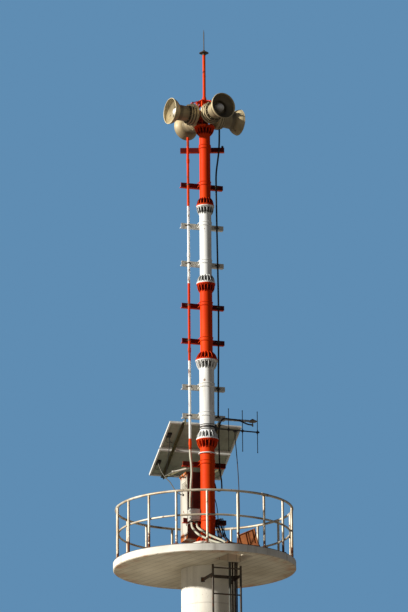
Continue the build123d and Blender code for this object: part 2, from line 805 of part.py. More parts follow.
# Black cables: the sensor's runs along its arm and down the mast, the antenna's and the power cables to the slot
stem_face = arm_end + head_radius - 8 - head_stem_radius - 1
beside_arm = arm_back - arm_radius - sensor_cable_radius - 1
cabinet_right = cabinet_left + cabinet_width
sensor_route = [behind(stem_face, arm_back, 2480), behind(740, 150, 2482), behind(655, 127, 2502),
                behind(560, beside_arm, arm_level), behind(440, beside_arm, arm_level), behind(345, 112, 2546),
                behind(285, 106, 2518), behind(246, 99, 2450), behind(228, 95, 2350), behind(222, 92, 2230),
                behind(225, 93, 2080), behind(231, 95, 1860), behind(237, 96, 1660), behind(264, 94, 1510),
                behind(268, 96, 1365), behind(240, 100, 1337), behind(200, 104, 1337), behind(172, 110, 1365),
                behind(164, 126, 1440), behind(156, 156, 1490), behind(156, cabinet_front, 1490)]
sensor_cable = tube_along("sensor cable", sensor_route, sensor_cable_radius)

boom_underside = boom_direction * coax_boom_reach + Vector(0, 0, boom_level - boom_radius - touch)
slot_floor = column_height + 10
coax_end = across(ladder_azimuth, column_line_reach, coax_side, deck + 16)
coax_route = [boom_underside, boom_underside - Vector(0, 0, 110), Vector(464, 108, 1960) + lift,
              Vector(484, 10, 1640) + lift, Vector(497, -130, 1240) + lift, Vector(499, -290, 800) + lift,
              Vector(488, -430, 470) + lift, coax_end + Vector(34, 42, 130), coax_end,
              coax_end - Vector(0, 0, coax_end.Z - slot_floor)]
antenna_cable = tube_along("antenna cable", coax_route, coax_radius)

power_cables = []
for spread, side in zip((0, 1), power_cable_sides):
    power_end = across(ladder_azimuth, column_line_reach, side, deck + 24)
    aside = Vector(26, 8, 0) * spread
    outlet = behind(cabinet_right, 300 + 60 * spread, 905 - 60 * spread)
    power_route = [outlet, outlet + bar_direction * 48, behind(246 + 26 * spread, 236, 905),
                   behind(256 + 30 * spread, 180, 897), behind(258 + 32 * spread, 134, 896),
                   behind(262 + 30 * spread, 106, 845), behind(268 + 26 * spread, 90, 720),
                   behind(266 + 30 * spread, 60, 600), Vector(290, 56, 520) + lift + aside,
                   Vector(340, -70, 440) + lift + aside, Vector(382, -230, 350) + lift + aside,
                   Vector(402, -380, 270) + lift + aside, power_end + Vector(4, 60, 70), power_end,
                   power_end - Vector(0, 0, power_end.Z - slot_floor)]
    power_cables.append(tube_along("power cable", power_route, power_cable_radius))

with BuildPart() as signal_cables:
    add(sensor_cable.part)
    add(antenna_cable.part)
    for cable in power_cables:
        add(cable.part)
keep(signal_cables, "signal_cables")

# Grey lead from the lower panel's terminal box into the cabinet's left side
box_middle = panel_plane(panel_middles[1], panel_depth - panel_laminate - 2 - terminal_box_size[2])
lead_start = box_middle.from_local_coords(Vector(terminal_box_side, 0, 0))
lead_route = [lead_start, lead_start - panel_normal * 60, behind(-468, 950, 1790), behind(-444, 800, 1665),
              behind(-420, 650, 1565), behind(-414, 520, 1450), behind(-388, 430, 1355),
              behind(-330, 400, 1310), behind(cabinet_left - 24, 400, 1306), behind(cabinet_left, 400, 1306)]
panel_lead = tube_along("panel lead", lead_route, panel_lead_radius)
keep(panel_lead, "panel_lead")

# Horn head: a square cage of angles round a post, with a plate on each side for a horn
head_bottom = column_height + mast_top
head_top = head_bottom + head_rise
horn_centre = column_height + horn_height
corner = head_half_width
inset = head_half_width - head_angle
web = head_half_width - head_angle_thickness
with BuildPart() as horn_head:
    with BuildSketch(Plane.XY.offset(head_bottom)):
        Circle(joint_flange_radii[-1])
    extrude(amount=head_plate_thickness)
    with BuildSketch(Plane.XY.offset(head_bottom)):
        Circle(head_post_radius)
    extrude(amount=head_rise)
    for azimuth in horn_azimuths:
        with BuildSketch(Plane(origin=(0, 0, head_bottom), x_dir=outward(azimuth, 1), z_dir=(0, 0, 1))):
            with BuildLine():
                Polyline((corner, corner), (inset, corner), (inset, web), (web, web), (web, inset),
                         (corner, inset), close=True)
            make_face()
        extrude(amount=head_rise)
        with BuildSketch(Plane(origin=outward(azimuth, head_half_width, horn_centre),
                               x_dir=outward(azimuth + 90, 1), z_dir=outward(azimuth, 1))):
            Rectangle(2 * face_plate_half_width, face_plate_height)
        extrude(amount=face_plate_thickness)
    with BuildSketch(Plane(origin=(0, 0, head_top), x_dir=outward(horn_azimuths[0], 1), z_dir=(0, 0, 1))):
        Rectangle(2 * head_top_half_width, 2 * head_top_half_width)
    extrude(amount=-head_plate_thickness)
keep(horn_head, "horn_head")


def horn_frame(azimuth):
    """A plane through a horn's axis: x runs outward along the horn and y runs up."""
    return Plane(origin=(0, 0, horn_centre), x_dir=outward(azimuth, 1), z_dir=outward(azimuth + 90, -1))


# Straps: each slopes from the top plate's edge down to a pivot boss on its driver
strap_top = head_rise - horn_rise
strap_slope = strap_drop / (strap_end_reach - head_top_half_width)
pivot_top = strap_top - head_plate_thickness / 2 - strap_slope * (strap_pivot_reach - head_top_half_width)
with BuildPart() as horn_straps:
    for azimuth in horn_azimuths:
        with BuildSketch(horn_frame(azimuth)):
            with BuildLine():
                Polyline((head_top_half_width, strap_top), (strap_end_reach, strap_top - strap_drop),
                         (strap_end_reach, strap_top - strap_drop - head_plate_thickness),
                         (head_top_half_width, strap_top - head_plate_thickness), close=True)
            make_face()
        extrude(amount=strap_width / 2, both=True)
        boss_foot = driver_radii[0] + touch
        with BuildSketch(Plane(origin=outward(azimuth, strap_pivot_reach, horn_centre + boss_foot))):
            Circle(strap_pivot_radius)
        extrude(amount=pivot_top - boss_foot)
keep(horn_straps, "horn_straps")

driver_profile = [(head_half_width + face_plate_thickness, 0),
                  (head_half_width + face_plate_thickness, driver_boss_radius),
                  (driver_rear_reach, driver_boss_radius), (driver_rear_reach, driver_rear_radius - 20),
                  (driver_rear_reach + 8, driver_rear_radius), (driver_reaches[0] - 10, driver_radii[0] - 22)]
for start, end, radius in zip(driver_reaches, driver_reaches[1:], driver_radii):
    driver_profile += [(start, radius), (end - driver_step, radius)]
driver_profile += [(driver_reaches[-1], driver_radii[-1] - driver_step), (driver_reaches[-1], 0)]
with BuildPart() as horn_drivers:
    for azimuth in horn_azimuths:
        with BuildSketch(horn_frame(azimuth)):
            with BuildLine():
                Polyline(*driver_profile, close=True)
            make_face()
        revolve(axis=Axis((0, 0, horn_centre), outward(azimuth, 1)))
keep(horn_drivers, "horn_drivers")

# Bells: each in one with the cone that fills the middle of its mouth
flare_start = horn_mouth_reach - horn_flare_length
bell_back = horn_mouth_reach - horn_inner_depth
with BuildPart() as horn_bells:
    for azimuth in horn_azimuths:
        with BuildSketch(horn_frame(azimuth)):
            with BuildLine():
                Polyline((driver_reaches[-1], 0), (driver_reaches[-1], horn_body_rear_radius),
                         (horn_body_rear_reach, horn_body_rear_radius), (flare_start, horn_throat_radius))
                RadiusArc((flare_start, horn_throat_radius), (horn_mouth_reach - horn_lip, horn_mouth_radius),
                          horn_flare_curve)
                Polyline((horn_mouth_reach - horn_lip, horn_mouth_radius), (horn_mouth_reach, horn_mouth_radius),
                         (horn_mouth_reach, horn_mouth_radius - horn_wall))
                RadiusArc((horn_mouth_reach, horn_mouth_radius - horn_wall),
                          (flare_start, horn_throat_radius - horn_wall), -horn_flare_curve)
                Polyline((flare_start, horn_throat_radius - horn_wall), (bell_back, horn_throat_radius - 2 * horn_wall),
                         (bell_back, plug_radius), (bell_back + 24, plug_radius), (bell_back + 62, plug_radius * 0.7),
                         (bell_back + plug_front, plug_tip_radius), (bell_back + plug_front, 0),
                         (driver_reaches[-1], 0))
            make_face()
        revolve(axis=Axis((0, 0, horn_centre), outward(azimuth, 1)))
keep(horn_bells, "horn_bells")

# Pole, cap and lightning rod above the horns
pole_top = head_top + pole_length
with BuildPart() as top_pole:
    with BuildSketch(Plane.XY.offset(head_top)):
        Circle(pole_radius)
    extrude(amount=pole_length)
keep(top_pole, "top_pole")

with BuildPart() as pole_cap:
    with BuildSketch(Plane.XZ.shift_origin((0, 0, pole_top))):
        with BuildLine():
            Polyline((0, 0), (cap_radius, 0), (cap_radius, 8), (rod_radius + 6, cap_height), (0, cap_height),
                     close=True)
        make_face()
    revolve(axis=Axis.Z)
keep(pole_cap, "pole_cap")

with BuildPart() as lightning_rod:
    with BuildSketch(Plane.XY.offset(pole_top + cap_height)):
        Circle(rod_radius)
    extrude(amount=rod_length)
    chamfer(lightning_rod.edges().group_by(Axis.Z)[-1], rod_tip, rod_radius - 2)
keep(lightning_rod, "lightning_rod")
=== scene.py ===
import math

import bmesh
import bpy
from mathutils import Matrix, Vector


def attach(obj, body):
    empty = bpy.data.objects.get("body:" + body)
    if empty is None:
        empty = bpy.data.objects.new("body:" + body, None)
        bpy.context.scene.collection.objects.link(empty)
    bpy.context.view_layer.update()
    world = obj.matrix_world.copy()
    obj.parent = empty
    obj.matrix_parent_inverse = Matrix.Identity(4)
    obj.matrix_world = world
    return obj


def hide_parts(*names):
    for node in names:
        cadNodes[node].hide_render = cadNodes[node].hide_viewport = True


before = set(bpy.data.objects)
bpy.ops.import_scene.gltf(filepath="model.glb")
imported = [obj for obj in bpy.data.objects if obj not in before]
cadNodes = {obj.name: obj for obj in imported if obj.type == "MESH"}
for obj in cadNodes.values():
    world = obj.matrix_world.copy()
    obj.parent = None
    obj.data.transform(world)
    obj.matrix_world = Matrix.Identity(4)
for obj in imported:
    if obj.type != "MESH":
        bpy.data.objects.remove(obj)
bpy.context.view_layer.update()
print("frame loaded:", len(cadNodes), "nodes")

# the camera stands in front of the tower and looks up, with its long side upright
cameraLook = {"distance": 62.0, "height": 1.4, "pitch": 16.16, "yaw": 0.032, "roll": -0.5, "focal": 235.3}
sunLook = {"azimuth": -68, "elevation": 17, "strength": 5.9, "softness": 2, "colour": (1.0, 0.955, 0.88)}
skyLook = {"glow": (0.036, 0.046, 0.070), "backdrop": (0.115, 0.265, 0.450)}
floorLook = {"side": 3000.0, "colour": (0.39, 0.36, 0.30), "roughness": 0.85}

datum = 15  # the column's top, from which heights on the mast are given
barYaw = 18  # how far the crossbars are turned round the mast, in degrees


def outward(azimuth, reach, z=0.0):
    # azimuth 0 faces the camera and grows to the right
    angle = math.radians(azimuth)
    return Vector((reach * math.sin(angle), -reach * math.cos(angle), z))


def across(azimuth, out, side, z=0.0):
    return outward(azimuth, out, z) + outward(azimuth + 90, side)


def behind(side, back, z=0.0):
    # the crossbars' own frame: sideways along the bars, back from the mast, up from the datum
    turn = math.radians(barYaw)
    return Vector((side * math.cos(turn) - back * math.sin(turn),
                   side * math.sin(turn) + back * math.cos(turn), datum + z))


def raised(spot):
    # a place in the tower's own directions, with its height from the datum
    return Vector(spot) + Vector((0, 0, datum))


barSide = behind(1, 0) - behind(0, 0)
barFront = behind(0, -1) - behind(0, 0)
barTurn = Matrix.Rotation(math.radians(barYaw), 3, "Z")


def paint(red, green, blue):
    # a screen colour, 0 to 255, as the linear colour that a shader takes
    parts = [v / 255 for v in (red, green, blue)]
    return tuple(v / 12.92 if v < 0.04045 else ((v + 0.055) / 1.055) ** 2.4 for v in parts) + (1.0,)


def addObject(name, data):
    thing = bpy.data.objects.new(name, data)
    bpy.context.scene.collection.objects.link(thing)
    return thing


def placeCamera(look):
    data = bpy.data.cameras.new("viewCamera")
    data.lens = look["focal"]
    data.sensor_width = 36
    data.clip_start = 0.5
    data.clip_end = 4000
    viewer = addObject("viewCamera", data)
    turn = (Matrix.Rotation(math.radians(look["yaw"]), 4, "Z")
            @ Matrix.Rotation(math.radians(90 + look["pitch"]), 4, "X")
            @ Matrix.Rotation(math.radians(look["roll"]), 4, "Z"))
    viewer.matrix_world = Matrix.Translation((0, -look["distance"], look["height"])) @ turn
    bpy.context.scene.camera = viewer


def placeLights(sun, sky):
    data = bpy.data.lights.new("keySun", "SUN")
    data.energy = sun["strength"]
    data.angle = math.radians(sun["softness"])
    data.color = sun["colour"]
    lamp = addObject("keySun", data)
    level = math.cos(math.radians(sun["elevation"]))
    towards = outward(sun["azimuth"], level, math.sin(math.radians(sun["elevation"])))
    lamp.matrix_world = towards.to_track_quat("Z", "Y").to_matrix().to_4x4()
    world = bpy.data.worlds.new("softSky")
    world.use_nodes = True
    nodes = world.node_tree.nodes
    path = nodes.new("ShaderNodeLightPath")
    choice = nodes.new("ShaderNodeMix")
    choice.data_type = "RGBA"
    choice.inputs[6].default_value = sky["glow"] + (1.0,)  # what lights the tower
    choice.inputs[7].default_value = sky["backdrop"] + (1.0,)  # what the camera sees behind it
    world.node_tree.links.new(path.outputs["Is Camera Ray"], choice.inputs[0])
    world.node_tree.links.new(choice.outputs[2], nodes["Background"].inputs["Color"])
    bpy.context.scene.world = world


placeCamera(cameraLook)
placeLights(sunLook, skyLook)
bpy.context.scene.view_settings.view_transform = "Standard"
print("camera and lights placed")


class Wire:
    # one output of a node; arithmetic on it adds Math nodes
    def __init__(self, tree, socket):
        self.tree = tree
        self.socket = socket

    def math(self, operation, *others):
        values = (self,) + others
        return addNode(self.tree, "ShaderNodeMath", {"operation": operation}, dict(enumerate(values)))

    def swapped(self, operation, other):
        return addNode(self.tree, "ShaderNodeMath", {"operation": operation}, {0: other, 1: self})

    def __add__(self, other):
        return self.math("ADD", other)

    def __sub__(self, other):
        return self.math("SUBTRACT", other)

    def __mul__(self, other):
        return self.math("MULTIPLY", other)

    def __rsub__(self, other):
        return self.swapped("SUBTRACT", other)

    __radd__ = __add__
    __rmul__ = __mul__


def addNode(tree, kind, settings=None, inputs=None, output=0):
    node = tree.nodes.new(kind)
    for name, value in (settings or {}).items():
        setattr(node, name, value)
    for name, value in (inputs or {}).items():
        if isinstance(value, Wire):
            tree.links.new(value.socket, node.inputs[name])
        else:
            node.inputs[name].default_value = value
    return Wire(tree, node.outputs[output])


class Finish:
    # a procedural material on Object coordinates, in metres
    def __init__(self, name):
        self.material = bpy.data.materials.new(name)
        self.material.use_nodes = True
        self.tree = self.material.node_tree
        self.tree.nodes.clear()
        self.place = self.node("ShaderNodeTexCoord", output="Object")
        self.facing = self.node("ShaderNodeTexCoord", output="Normal")
        self.x, self.y, self.z = [self.node("ShaderNodeSeparateXYZ", {}, {0: self.place}, k)
                                  for k in range(3)]

    def node(self, kind, settings=None, inputs=None, output=0):
        return addNode(self.tree, kind, settings, inputs, output)

    def noise(self, scale, detail=3, roughness=0.55, stretch=(1, 1, 1), shift=0.0):
        place = self.node("ShaderNodeVectorMath", {"operation": "MULTIPLY_ADD"},
                          {0: self.place, 1: stretch, 2: (shift, shift * 1.7, shift * 0.6)})
        return self.node("ShaderNodeTexNoise", {},
                         {"Vector": place, "Scale": scale, "Detail": detail, "Roughness": roughness})

    def cells(self, scale):
        return self.node("ShaderNodeTexVoronoi", {}, {"Vector": self.place, "Scale": scale})

    def ease(self, value, low, high):
        return self.node("ShaderNodeMapRange", {"interpolation_type": "SMOOTHSTEP"},
                         {"Value": value, "From Min": low, "From Max": high})

    def along(self, direction, value=None):
        # how far a place (or the surface's facing) lies along a direction
        return self.node("ShaderNodeVectorMath", {"operation": "DOT_PRODUCT"},
                         {0: value or self.place, 1: direction}, 1)

    def mix(self, factor, first, second):
        return self.node("ShaderNodeMix", {"data_type": "RGBA"}, {0: factor, 6: first, 7: second}, 2)

    def seam(self, value, spacing, width):
        # 1 on lines at every multiple of the spacing, 0 between them
        return 1 - self.ease(value.math("PINGPONG", spacing / 2), width * 0.4, width)

    def shade(self, colour, roughness=0.5, metallic=0.0, height=None, depth=0.001, coat=0.0, specular=0.5):
        shader = self.tree.nodes.new("ShaderNodeBsdfPrincipled")
        shader.inputs["Specular IOR Level"].default_value = specular
        if coat:
            shader.inputs["Coat Weight"].default_value = coat
            shader.inputs["Coat Roughness"].default_value = 0.25
        for name, value in (("Base Color", colour), ("Roughness", roughness), ("Metallic", metallic)):
            if isinstance(value, Wire):
                self.tree.links.new(value.socket, shader.inputs[name])
            else:
                shader.inputs[name].default_value = value
        if height is not None:
            bump = self.node("ShaderNodeBump", {}, {"Height": height, "Distance": depth, "Strength": 1.0})
            self.tree.links.new(bump.socket, shader.inputs["Normal"])
        output = self.tree.nodes.new("ShaderNodeOutputMaterial")
        self.tree.links.new(shader.outputs[0], output.inputs[0])
        return self.material


mastJoints = [15.43, 17.134, 18.445, 19.732, 21.044, 22.400]
riserBands = [17.160, 18.452, 19.752, 21.058]
# the last colour of the red and white mast paints is painted shade for between the fins
redPaint = {"fresh": paint(216, 56, 2), "faded": paint(224, 74, 8), "grime": paint(96, 24, 12),
            "rust": paint(112, 46, 24), "rustiness": 0.26, "streaks": 0.26, "seed": 1.0,
            "recess": 0.85, "paintedFinShade": paint(58, 10, 8)}
whitePaint = {"fresh": paint(240, 241, 240), "faded": paint(228, 228, 223), "grime": paint(158, 146, 126),
              "rust": paint(140, 84, 46), "rustiness": 0.26, "streaks": 0.36, "seed": 5.0,
              "recess": 0.85, "paintedFinShade": paint(58, 56, 52)}
creamPaint = {"fresh": paint(228, 212, 170), "faded": paint(206, 186, 142), "grime": paint(118, 100, 70),
              "rust": paint(122, 74, 40), "rustiness": 0.22, "streaks": 0.34, "seed": 9.0}
cabinetPaint = {"fresh": paint(200, 197, 186), "faded": paint(180, 172, 156), "grime": paint(104, 78, 54),
                "rust": paint(150, 72, 28), "rustiness": 0.40, "streaks": 0.55, "seed": 13.0}


def weathered(finish, look):
    # old gloss paint: faded patches, dirty runs under every mast joint, painted shade between the fins, chips
    # and rust
    # gives the colour, where it rusts and its fine grain
    broad = finish.noise(1.4, 3, 0.5, (1, 1, 0.5), look["seed"])
    grain = finish.noise(30, 6, 0.62, shift=look["seed"])
    runs = finish.noise(13, 4, 0.6, (1, 1, 0.06), look["seed"] + 2)
    below = finish.ease(finish.z, 14.0, 14.01)
    for top in mastJoints[1:]:
        near = finish.ease(finish.z, top - 0.55, top - 0.02) * (1 - finish.ease(finish.z, top, top + 0.01))
        below = below.math("MAXIMUM", near + 0.35)
    colour = finish.mix(finish.ease(broad, 0.36, 0.64), look["fresh"], look["faded"])
    colour = finish.mix(finish.ease(runs, 0.46, 0.72) * below * look["streaks"], colour, look["grime"])
    if "paintedFinShade" in look:
        # painted shade: dark between the fins at every flange
        reach = (finish.x * finish.x + finish.y * finish.y).math("SQRT")
        recess = 0.0
        for top in mastJoints:
            recess = (1 - finish.ease((finish.z - top).math("ABSOLUTE"), 0.10, 0.135)) + recess
        recess = (1 - finish.ease(reach, 0.121, 0.134)) * recess * look["recess"]
        colour = finish.mix(recess, colour, look["paintedFinShade"])
    chips = finish.noise(7.5, 9, 0.68, shift=look["seed"] + 4) + finish.ease(runs, 0.5, 0.8) * 0.06
    rust = finish.ease(chips, 0.70 - look["rustiness"] * 0.22, 0.74 - look["rustiness"] * 0.20)
    colour = finish.mix(rust, colour, finish.mix(grain, look["rust"], look["grime"]))
    return colour, rust, grain


def cabinetEnamel(name, look, front):
    # cream sides with rust along the edges, and a dark red-brown front that is partly its paint and partly
    # painted shade
    finish = Finish(name)
    colour, rust, grain = weathered(finish, look)
    edge = (1 - finish.ease(finish.z, 15.62, 15.72)) + finish.ease(finish.z, 16.53, 16.62)
    creep = finish.ease(finish.noise(8, 8, 0.7, (1, 1, 0.6), 21) + edge * 0.16, 0.58, 0.68)
    colour = finish.mix(creep, colour, finish.mix(grain, look["rust"], paint(196, 112, 46)))
    # the faces toward the camera get a darker colour, partly their own paint and partly painted shade
    ahead = finish.ease(finish.along(front, finish.facing), 0.6, 0.8)
    darkFrontPaintAndShade = finish.mix(finish.ease(finish.noise(5, 5, 0.6), 0.4, 0.7), paint(74, 42, 38), paint(98, 62, 54))
    colour = finish.mix(ahead, colour, darkFrontPaintAndShade)
    return finish.shade(colour, 0.45 + grain * 0.25 + rust * 0.2, 0.0, grain * 0.4 - rust * 0.9, 0.0009,
                        specular=0.3)


def paintedSteel(name, look):
    finish = Finish(name)
    colour, rust, grain = weathered(finish, look)
    return finish.shade(colour, 0.50 + grain * 0.25 + rust * 0.2, 0.0, grain * 0.4 - rust * 0.9, 0.0009,
                        specular=0.12)


def barPaint(name, look, shaded):
    # painted shade: the crossbars' fronts take a darker colour on the faces toward the camera
    finish = Finish(name)
    colour, rust, grain = weathered(finish, look)
    ahead = finish.ease(finish.along(tuple(barFront), finish.facing), 0.6, 0.9)
    colour = finish.mix(ahead * 0.97, colour, finish.mix(grain * 0.4, shaded, look["grime"]))
    return finish.shade(colour, 0.6 + grain * 0.2, 0.0, grain * 0.4 - rust * 0.9, 0.0009, specular=0.16)


concreteLook = {"light": paint(240, 236, 224), "dark": paint(220, 213, 198), "stain": paint(122, 112, 98),
                "formHeight": 1.2, "boardWidth": 0.15}


def columnConcrete(look):
    finish = Finish("columnConcrete")
    broad = finish.noise(0.9, 4, 0.6)
    runs = finish.noise(5, 5, 0.6, (1, 1, 0.05))
    grain = finish.noise(60, 8, 0.7)
    holes = finish.cells(26)
    colour = finish.mix(finish.ease(broad, 0.3, 0.7), look["light"], look["dark"])
    top = finish.ease(finish.z, 13.2, 15.0)
    foot = 1 - finish.ease(finish.z, 0.0, 0.9)
    colour = finish.mix(finish.ease(runs, 0.50, 0.80) * (0.16 + top * 0.26), colour, look["stain"])
    colour = finish.mix(foot * finish.ease(grain, 0.3, 0.7) * 0.55, colour, look["stain"])
    seams = finish.seam(finish.z, look["formHeight"], 0.012)
    colour = finish.mix(seams * 0.25, colour, look["stain"])
    pits = 1 - finish.ease(holes, 0.08, 0.16)
    colour = finish.mix(pits * 0.5, colour, look["stain"])
    height = grain * 0.5 - pits - seams * 0.8
    return finish.shade(colour, 0.86 + grain * 0.1, 0.0, height, 0.0022, specular=0.3)


def slabConcrete(look):
    # the rim is limewashed and streaked, the underside keeps the form boards' lines and rusty edges
    finish = Finish("slabConcrete")
    broad = finish.noise(1.6, 4, 0.6)
    grain = finish.noise(55, 8, 0.7)
    runs = finish.noise(8, 5, 0.65, (1, 1, 0.02))
    up = finish.along((0, 0, 1), finish.facing)
    under = finish.ease(up, -0.3, -0.8)
    deckTop = finish.ease(up, 0.3, 0.8)
    offAxis = finish.x + 0.06
    reach = (offAxis * offAxis + finish.y * finish.y).math("SQRT")
    rim = finish.mix(finish.ease(broad, 0.35, 0.7), paint(238, 236, 228), paint(214, 210, 200))
    rim = finish.mix(finish.ease(runs, 0.50, 0.72) * 0.55, rim, paint(128, 118, 104))
    lower = finish.mix(finish.ease(broad, 0.3, 0.7), paint(206, 194, 170), paint(232, 222, 200))
    boards = finish.seam(finish.x * 0.83 + finish.y * 0.56, look["boardWidth"], 0.008)
    lower = finish.mix(boards * 0.45, lower, paint(92, 80, 68))
    blotch = finish.noise(3.6, 6, 0.65, shift=3)
    rusty = finish.ease(reach, 1.18, 1.43) * finish.ease(blotch, 0.42, 0.66)
    lower = finish.mix(rusty * 0.7, lower, paint(190, 120, 66))
    upper = finish.mix(finish.ease(broad, 0.3, 0.7), paint(150, 145, 136), paint(118, 113, 104))
    upper = finish.mix(finish.ease(finish.noise(6, 6, 0.7), 0.5, 0.7) * 0.6, upper, paint(84, 78, 66))
    colour = finish.mix(finish.ease(reach, 1.40, 1.42), lower, rim)
    colour = finish.mix(under, colour, lower)
    colour = finish.mix(deckTop, colour, upper)
    pits = 1 - finish.ease(finish.cells(34), 0.1, 0.2)
    height = grain * 0.5 - pits * 0.6 - boards * under * 1.2
    return finish.shade(colour, 0.84 + grain * 0.12, 0.0, height, 0.002, specular=0.3)


def galvanised(name):
    # cream-aged zinc, with rust that creeps up from the feet
    finish = Finish(name)
    spangle = finish.cells(70)
    broad = finish.noise(2.2, 4, 0.6)
    grain = finish.noise(40, 6, 0.65)
    colour = finish.mix(finish.ease(broad, 0.35, 0.65), paint(226, 218, 198), paint(168, 146, 114))
    colour = finish.mix(spangle * 0.3, colour, paint(236, 230, 214))
    patches = finish.noise(9, 8, 0.7, shift=4)
    foot = 1 - finish.ease(finish.z, 15.14, 15.42)
    rust = finish.ease(patches + foot * 0.22, 0.58, 0.66)
    colour = finish.mix(rust, colour, finish.mix(grain, paint(84, 46, 28), paint(132, 76, 38)))
    return finish.shade(colour, 0.45 + rust * 0.35 + grain * 0.12, 0.30 - rust * 0.25,
                        grain * 0.3 + rust * 0.6, 0.0008)


def rustedSteel(name):
    finish = Finish(name)
    broad = finish.noise(4, 5, 0.65)
    grain = finish.noise(48, 8, 0.75)
    flakes = finish.cells(36)
    colour = finish.mix(finish.ease(broad, 0.36, 0.64), paint(92, 46, 20), paint(128, 72, 32))
    colour = finish.mix(finish.ease(grain, 0.5, 0.75), colour, paint(52, 30, 22))
    colour = finish.mix(finish.ease(flakes, 0.25, 0.5) * 0.30, colour, paint(150, 92, 44))
    height = grain * 0.7 + flakes * 0.4
    return finish.shade(colour, 0.78 + grain * 0.15, 0.15, height, 0.0012, specular=0.35)


def darkSteel(name):
    finish = Finish(name)
    broad = finish.noise(3, 4, 0.6)
    grain = finish.noise(44, 7, 0.7)
    colour = finish.mix(finish.ease(broad, 0.35, 0.65), paint(74, 68, 62), paint(98, 88, 76))
    rust = finish.ease(finish.noise(10, 8, 0.7, shift=6), 0.56, 0.64)
    colour = finish.mix(rust, colour, paint(112, 62, 34))
    return finish.shade(colour, 0.55 + grain * 0.2 + rust * 0.2, 0.6 - rust * 0.5,
                        grain * 0.35 + rust * 0.5, 0.0007)


def rubber(name, top, bottom, level):
    # a black sheath that turns brown and dusty lower down
    finish = Finish(name)
    grain = finish.noise(80, 5, 0.6)
    broad = finish.noise(5, 4, 0.6)
    aged = (1 - finish.ease(finish.z, level - 1.5, level + 1.5)) * finish.ease(broad, 0.2, 0.7)
    colour = finish.mix(aged, top, bottom)
    colour = finish.mix(finish.ease(grain, 0.5, 0.8) * 0.35, colour, paint(98, 88, 76))
    return finish.shade(colour, 0.58 + grain * 0.25, 0.0, grain, 0.0003)


def plastic(name, base, dirty, roughness=0.45):
    finish = Finish(name)
    grain = finish.noise(90, 4, 0.6)
    broad = finish.noise(6, 5, 0.65)
    runs = finish.noise(24, 4, 0.6, (1, 1, 0.1))
    colour = finish.mix(finish.ease(broad, 0.4, 0.7) * 0.5, base, dirty)
    colour = finish.mix(finish.ease(runs, 0.5, 0.8) * 0.35, colour, dirty)
    return finish.shade(colour, roughness + grain * 0.2, 0.0, grain, 0.0002)


def bareMetal(name, light, dark, roughness=0.35):
    finish = Finish(name)
    grain = finish.noise(60, 5, 0.6, (1, 1, 4))
    broad = finish.noise(5, 5, 0.6)
    colour = finish.mix(finish.ease(broad, 0.35, 0.7), light, dark)
    spots = finish.ease(finish.noise(22, 8, 0.7), 0.6, 0.7)
    colour = finish.mix(spots * 0.5, colour, paint(112, 92, 70))
    height = grain * 0.5 - spots * 0.4
    return finish.shade(colour, roughness + grain * 0.25, 0.85 - spots * 0.4, height, 0.0003)


def bandedPipe():
    # the riser is painted in the same red and white lengths as the mast behind it
    finish = Finish("bandedPipe")
    red, rust, grain = weathered(finish, redPaint)
    white = weathered(finish, whitePaint)[0]
    isWhite = 0.0
    for k, level in enumerate(riserBands):
        isWhite = finish.ease(finish.z, level, level + 0.008) * (1 - 2 * (k % 2)) + isWhite
    colour = finish.mix(isWhite, red, white)
    flaking = finish.ease(finish.noise(11, 9, 0.7, (1, 1, 0.5), 8), 0.54, 0.62)
    colour = finish.mix(flaking * 0.85, colour, finish.mix(grain, paint(96, 50, 28), paint(150, 92, 52)))
    height = grain * 0.4 - flaking * 0.7
    return finish.shade(colour, 0.55 + flaking * 0.3 + rust * 0.1, 0.0, height, 0.0008, specular=0.12)


hornLook = {"azimuth": 29, "centre": 22.588, "bell": 0.45, "waist": 0.415, "grooves": (0.240, 0.286, 0.324)}


def hornPaint(look):
    # cream bells, painted shade in their throats and in the grooves round the drivers, and a white cone in
    # each mouth
    finish = Finish("hornPaint")
    colour, rust, grain = weathered(finish, creamPaint)
    ahead = tuple(outward(look["azimuth"], 1))
    first = finish.along(ahead)
    second = finish.along(tuple(outward(look["azimuth"] + 90, 1)))
    rise = finish.z - look["centre"]
    fromFirst = (second * second + rise * rise).math("SQRT")
    fromSecond = (first * first + rise * rise).math("SQRT")
    axisGap = fromFirst.math("MINIMUM", fromSecond)
    reach = first.math("ABSOLUTE").math("MAXIMUM", second.math("ABSOLUTE"))
    bell = finish.ease(reach, look["bell"], look["bell"] + 0.01)
    cone = (1 - finish.ease(axisGap, 0.073, 0.076)) * bell
    # painted shade deep in each bell's throat
    throat = (1 - finish.ease(axisGap, 0.108, 0.190)) * bell
    colour = finish.mix(throat * 0.75, colour, paint(70, 60, 44))
    colour = finish.mix(cone, colour, paint(244, 243, 238))
    # painted shade inside the front horn's bell
    inside = finish.ease(finish.along(ahead, finish.facing), -0.15, 0.0)
    inside = inside * finish.ease(first, look["bell"], look["bell"] + 0.01)
    inside = inside * (1 - finish.ease(fromFirst, 0.200, 0.206)) * finish.ease(fromFirst, 0.074, 0.078)
    colour = finish.mix(inside * 0.75, colour, paint(50, 44, 34))
    # painted shade on the undersides and the narrow waists
    below = finish.ease(finish.along((0, 0, 1), finish.facing), 0.15, -0.75)
    waist = 1 - finish.ease((reach - look["waist"]).math("ABSOLUTE"), 0.065, 0.095)
    waist = waist * finish.ease(axisGap, 0.10, 0.11) * (1 - finish.ease(axisGap, 0.135, 0.150))
    colour = finish.mix(below * 0.62, colour, paint(92, 80, 60))
    colour = finish.mix(waist * 0.45, colour, paint(104, 92, 72))
    # painted shade in the grooves round the drivers
    for groove in look["grooves"]:
        line = 1 - finish.ease((reach - groove).math("ABSOLUTE"), 0.005, 0.012)
        colour = finish.mix(line * 0.9, colour, paint(48, 38, 26))
    height = grain * 0.4 - rust * 0.6
    return finish.shade(colour, 0.42 + grain * 0.25 + rust * 0.2, 0.0, height, 0.0008, coat=0.1)


panelLook = {"side": 0.050, "out": 0.215, "top": 2.440, "tilt": 28, "width": 0.630, "gap": 0.035,
             "cell": (0.131, 0.148)}


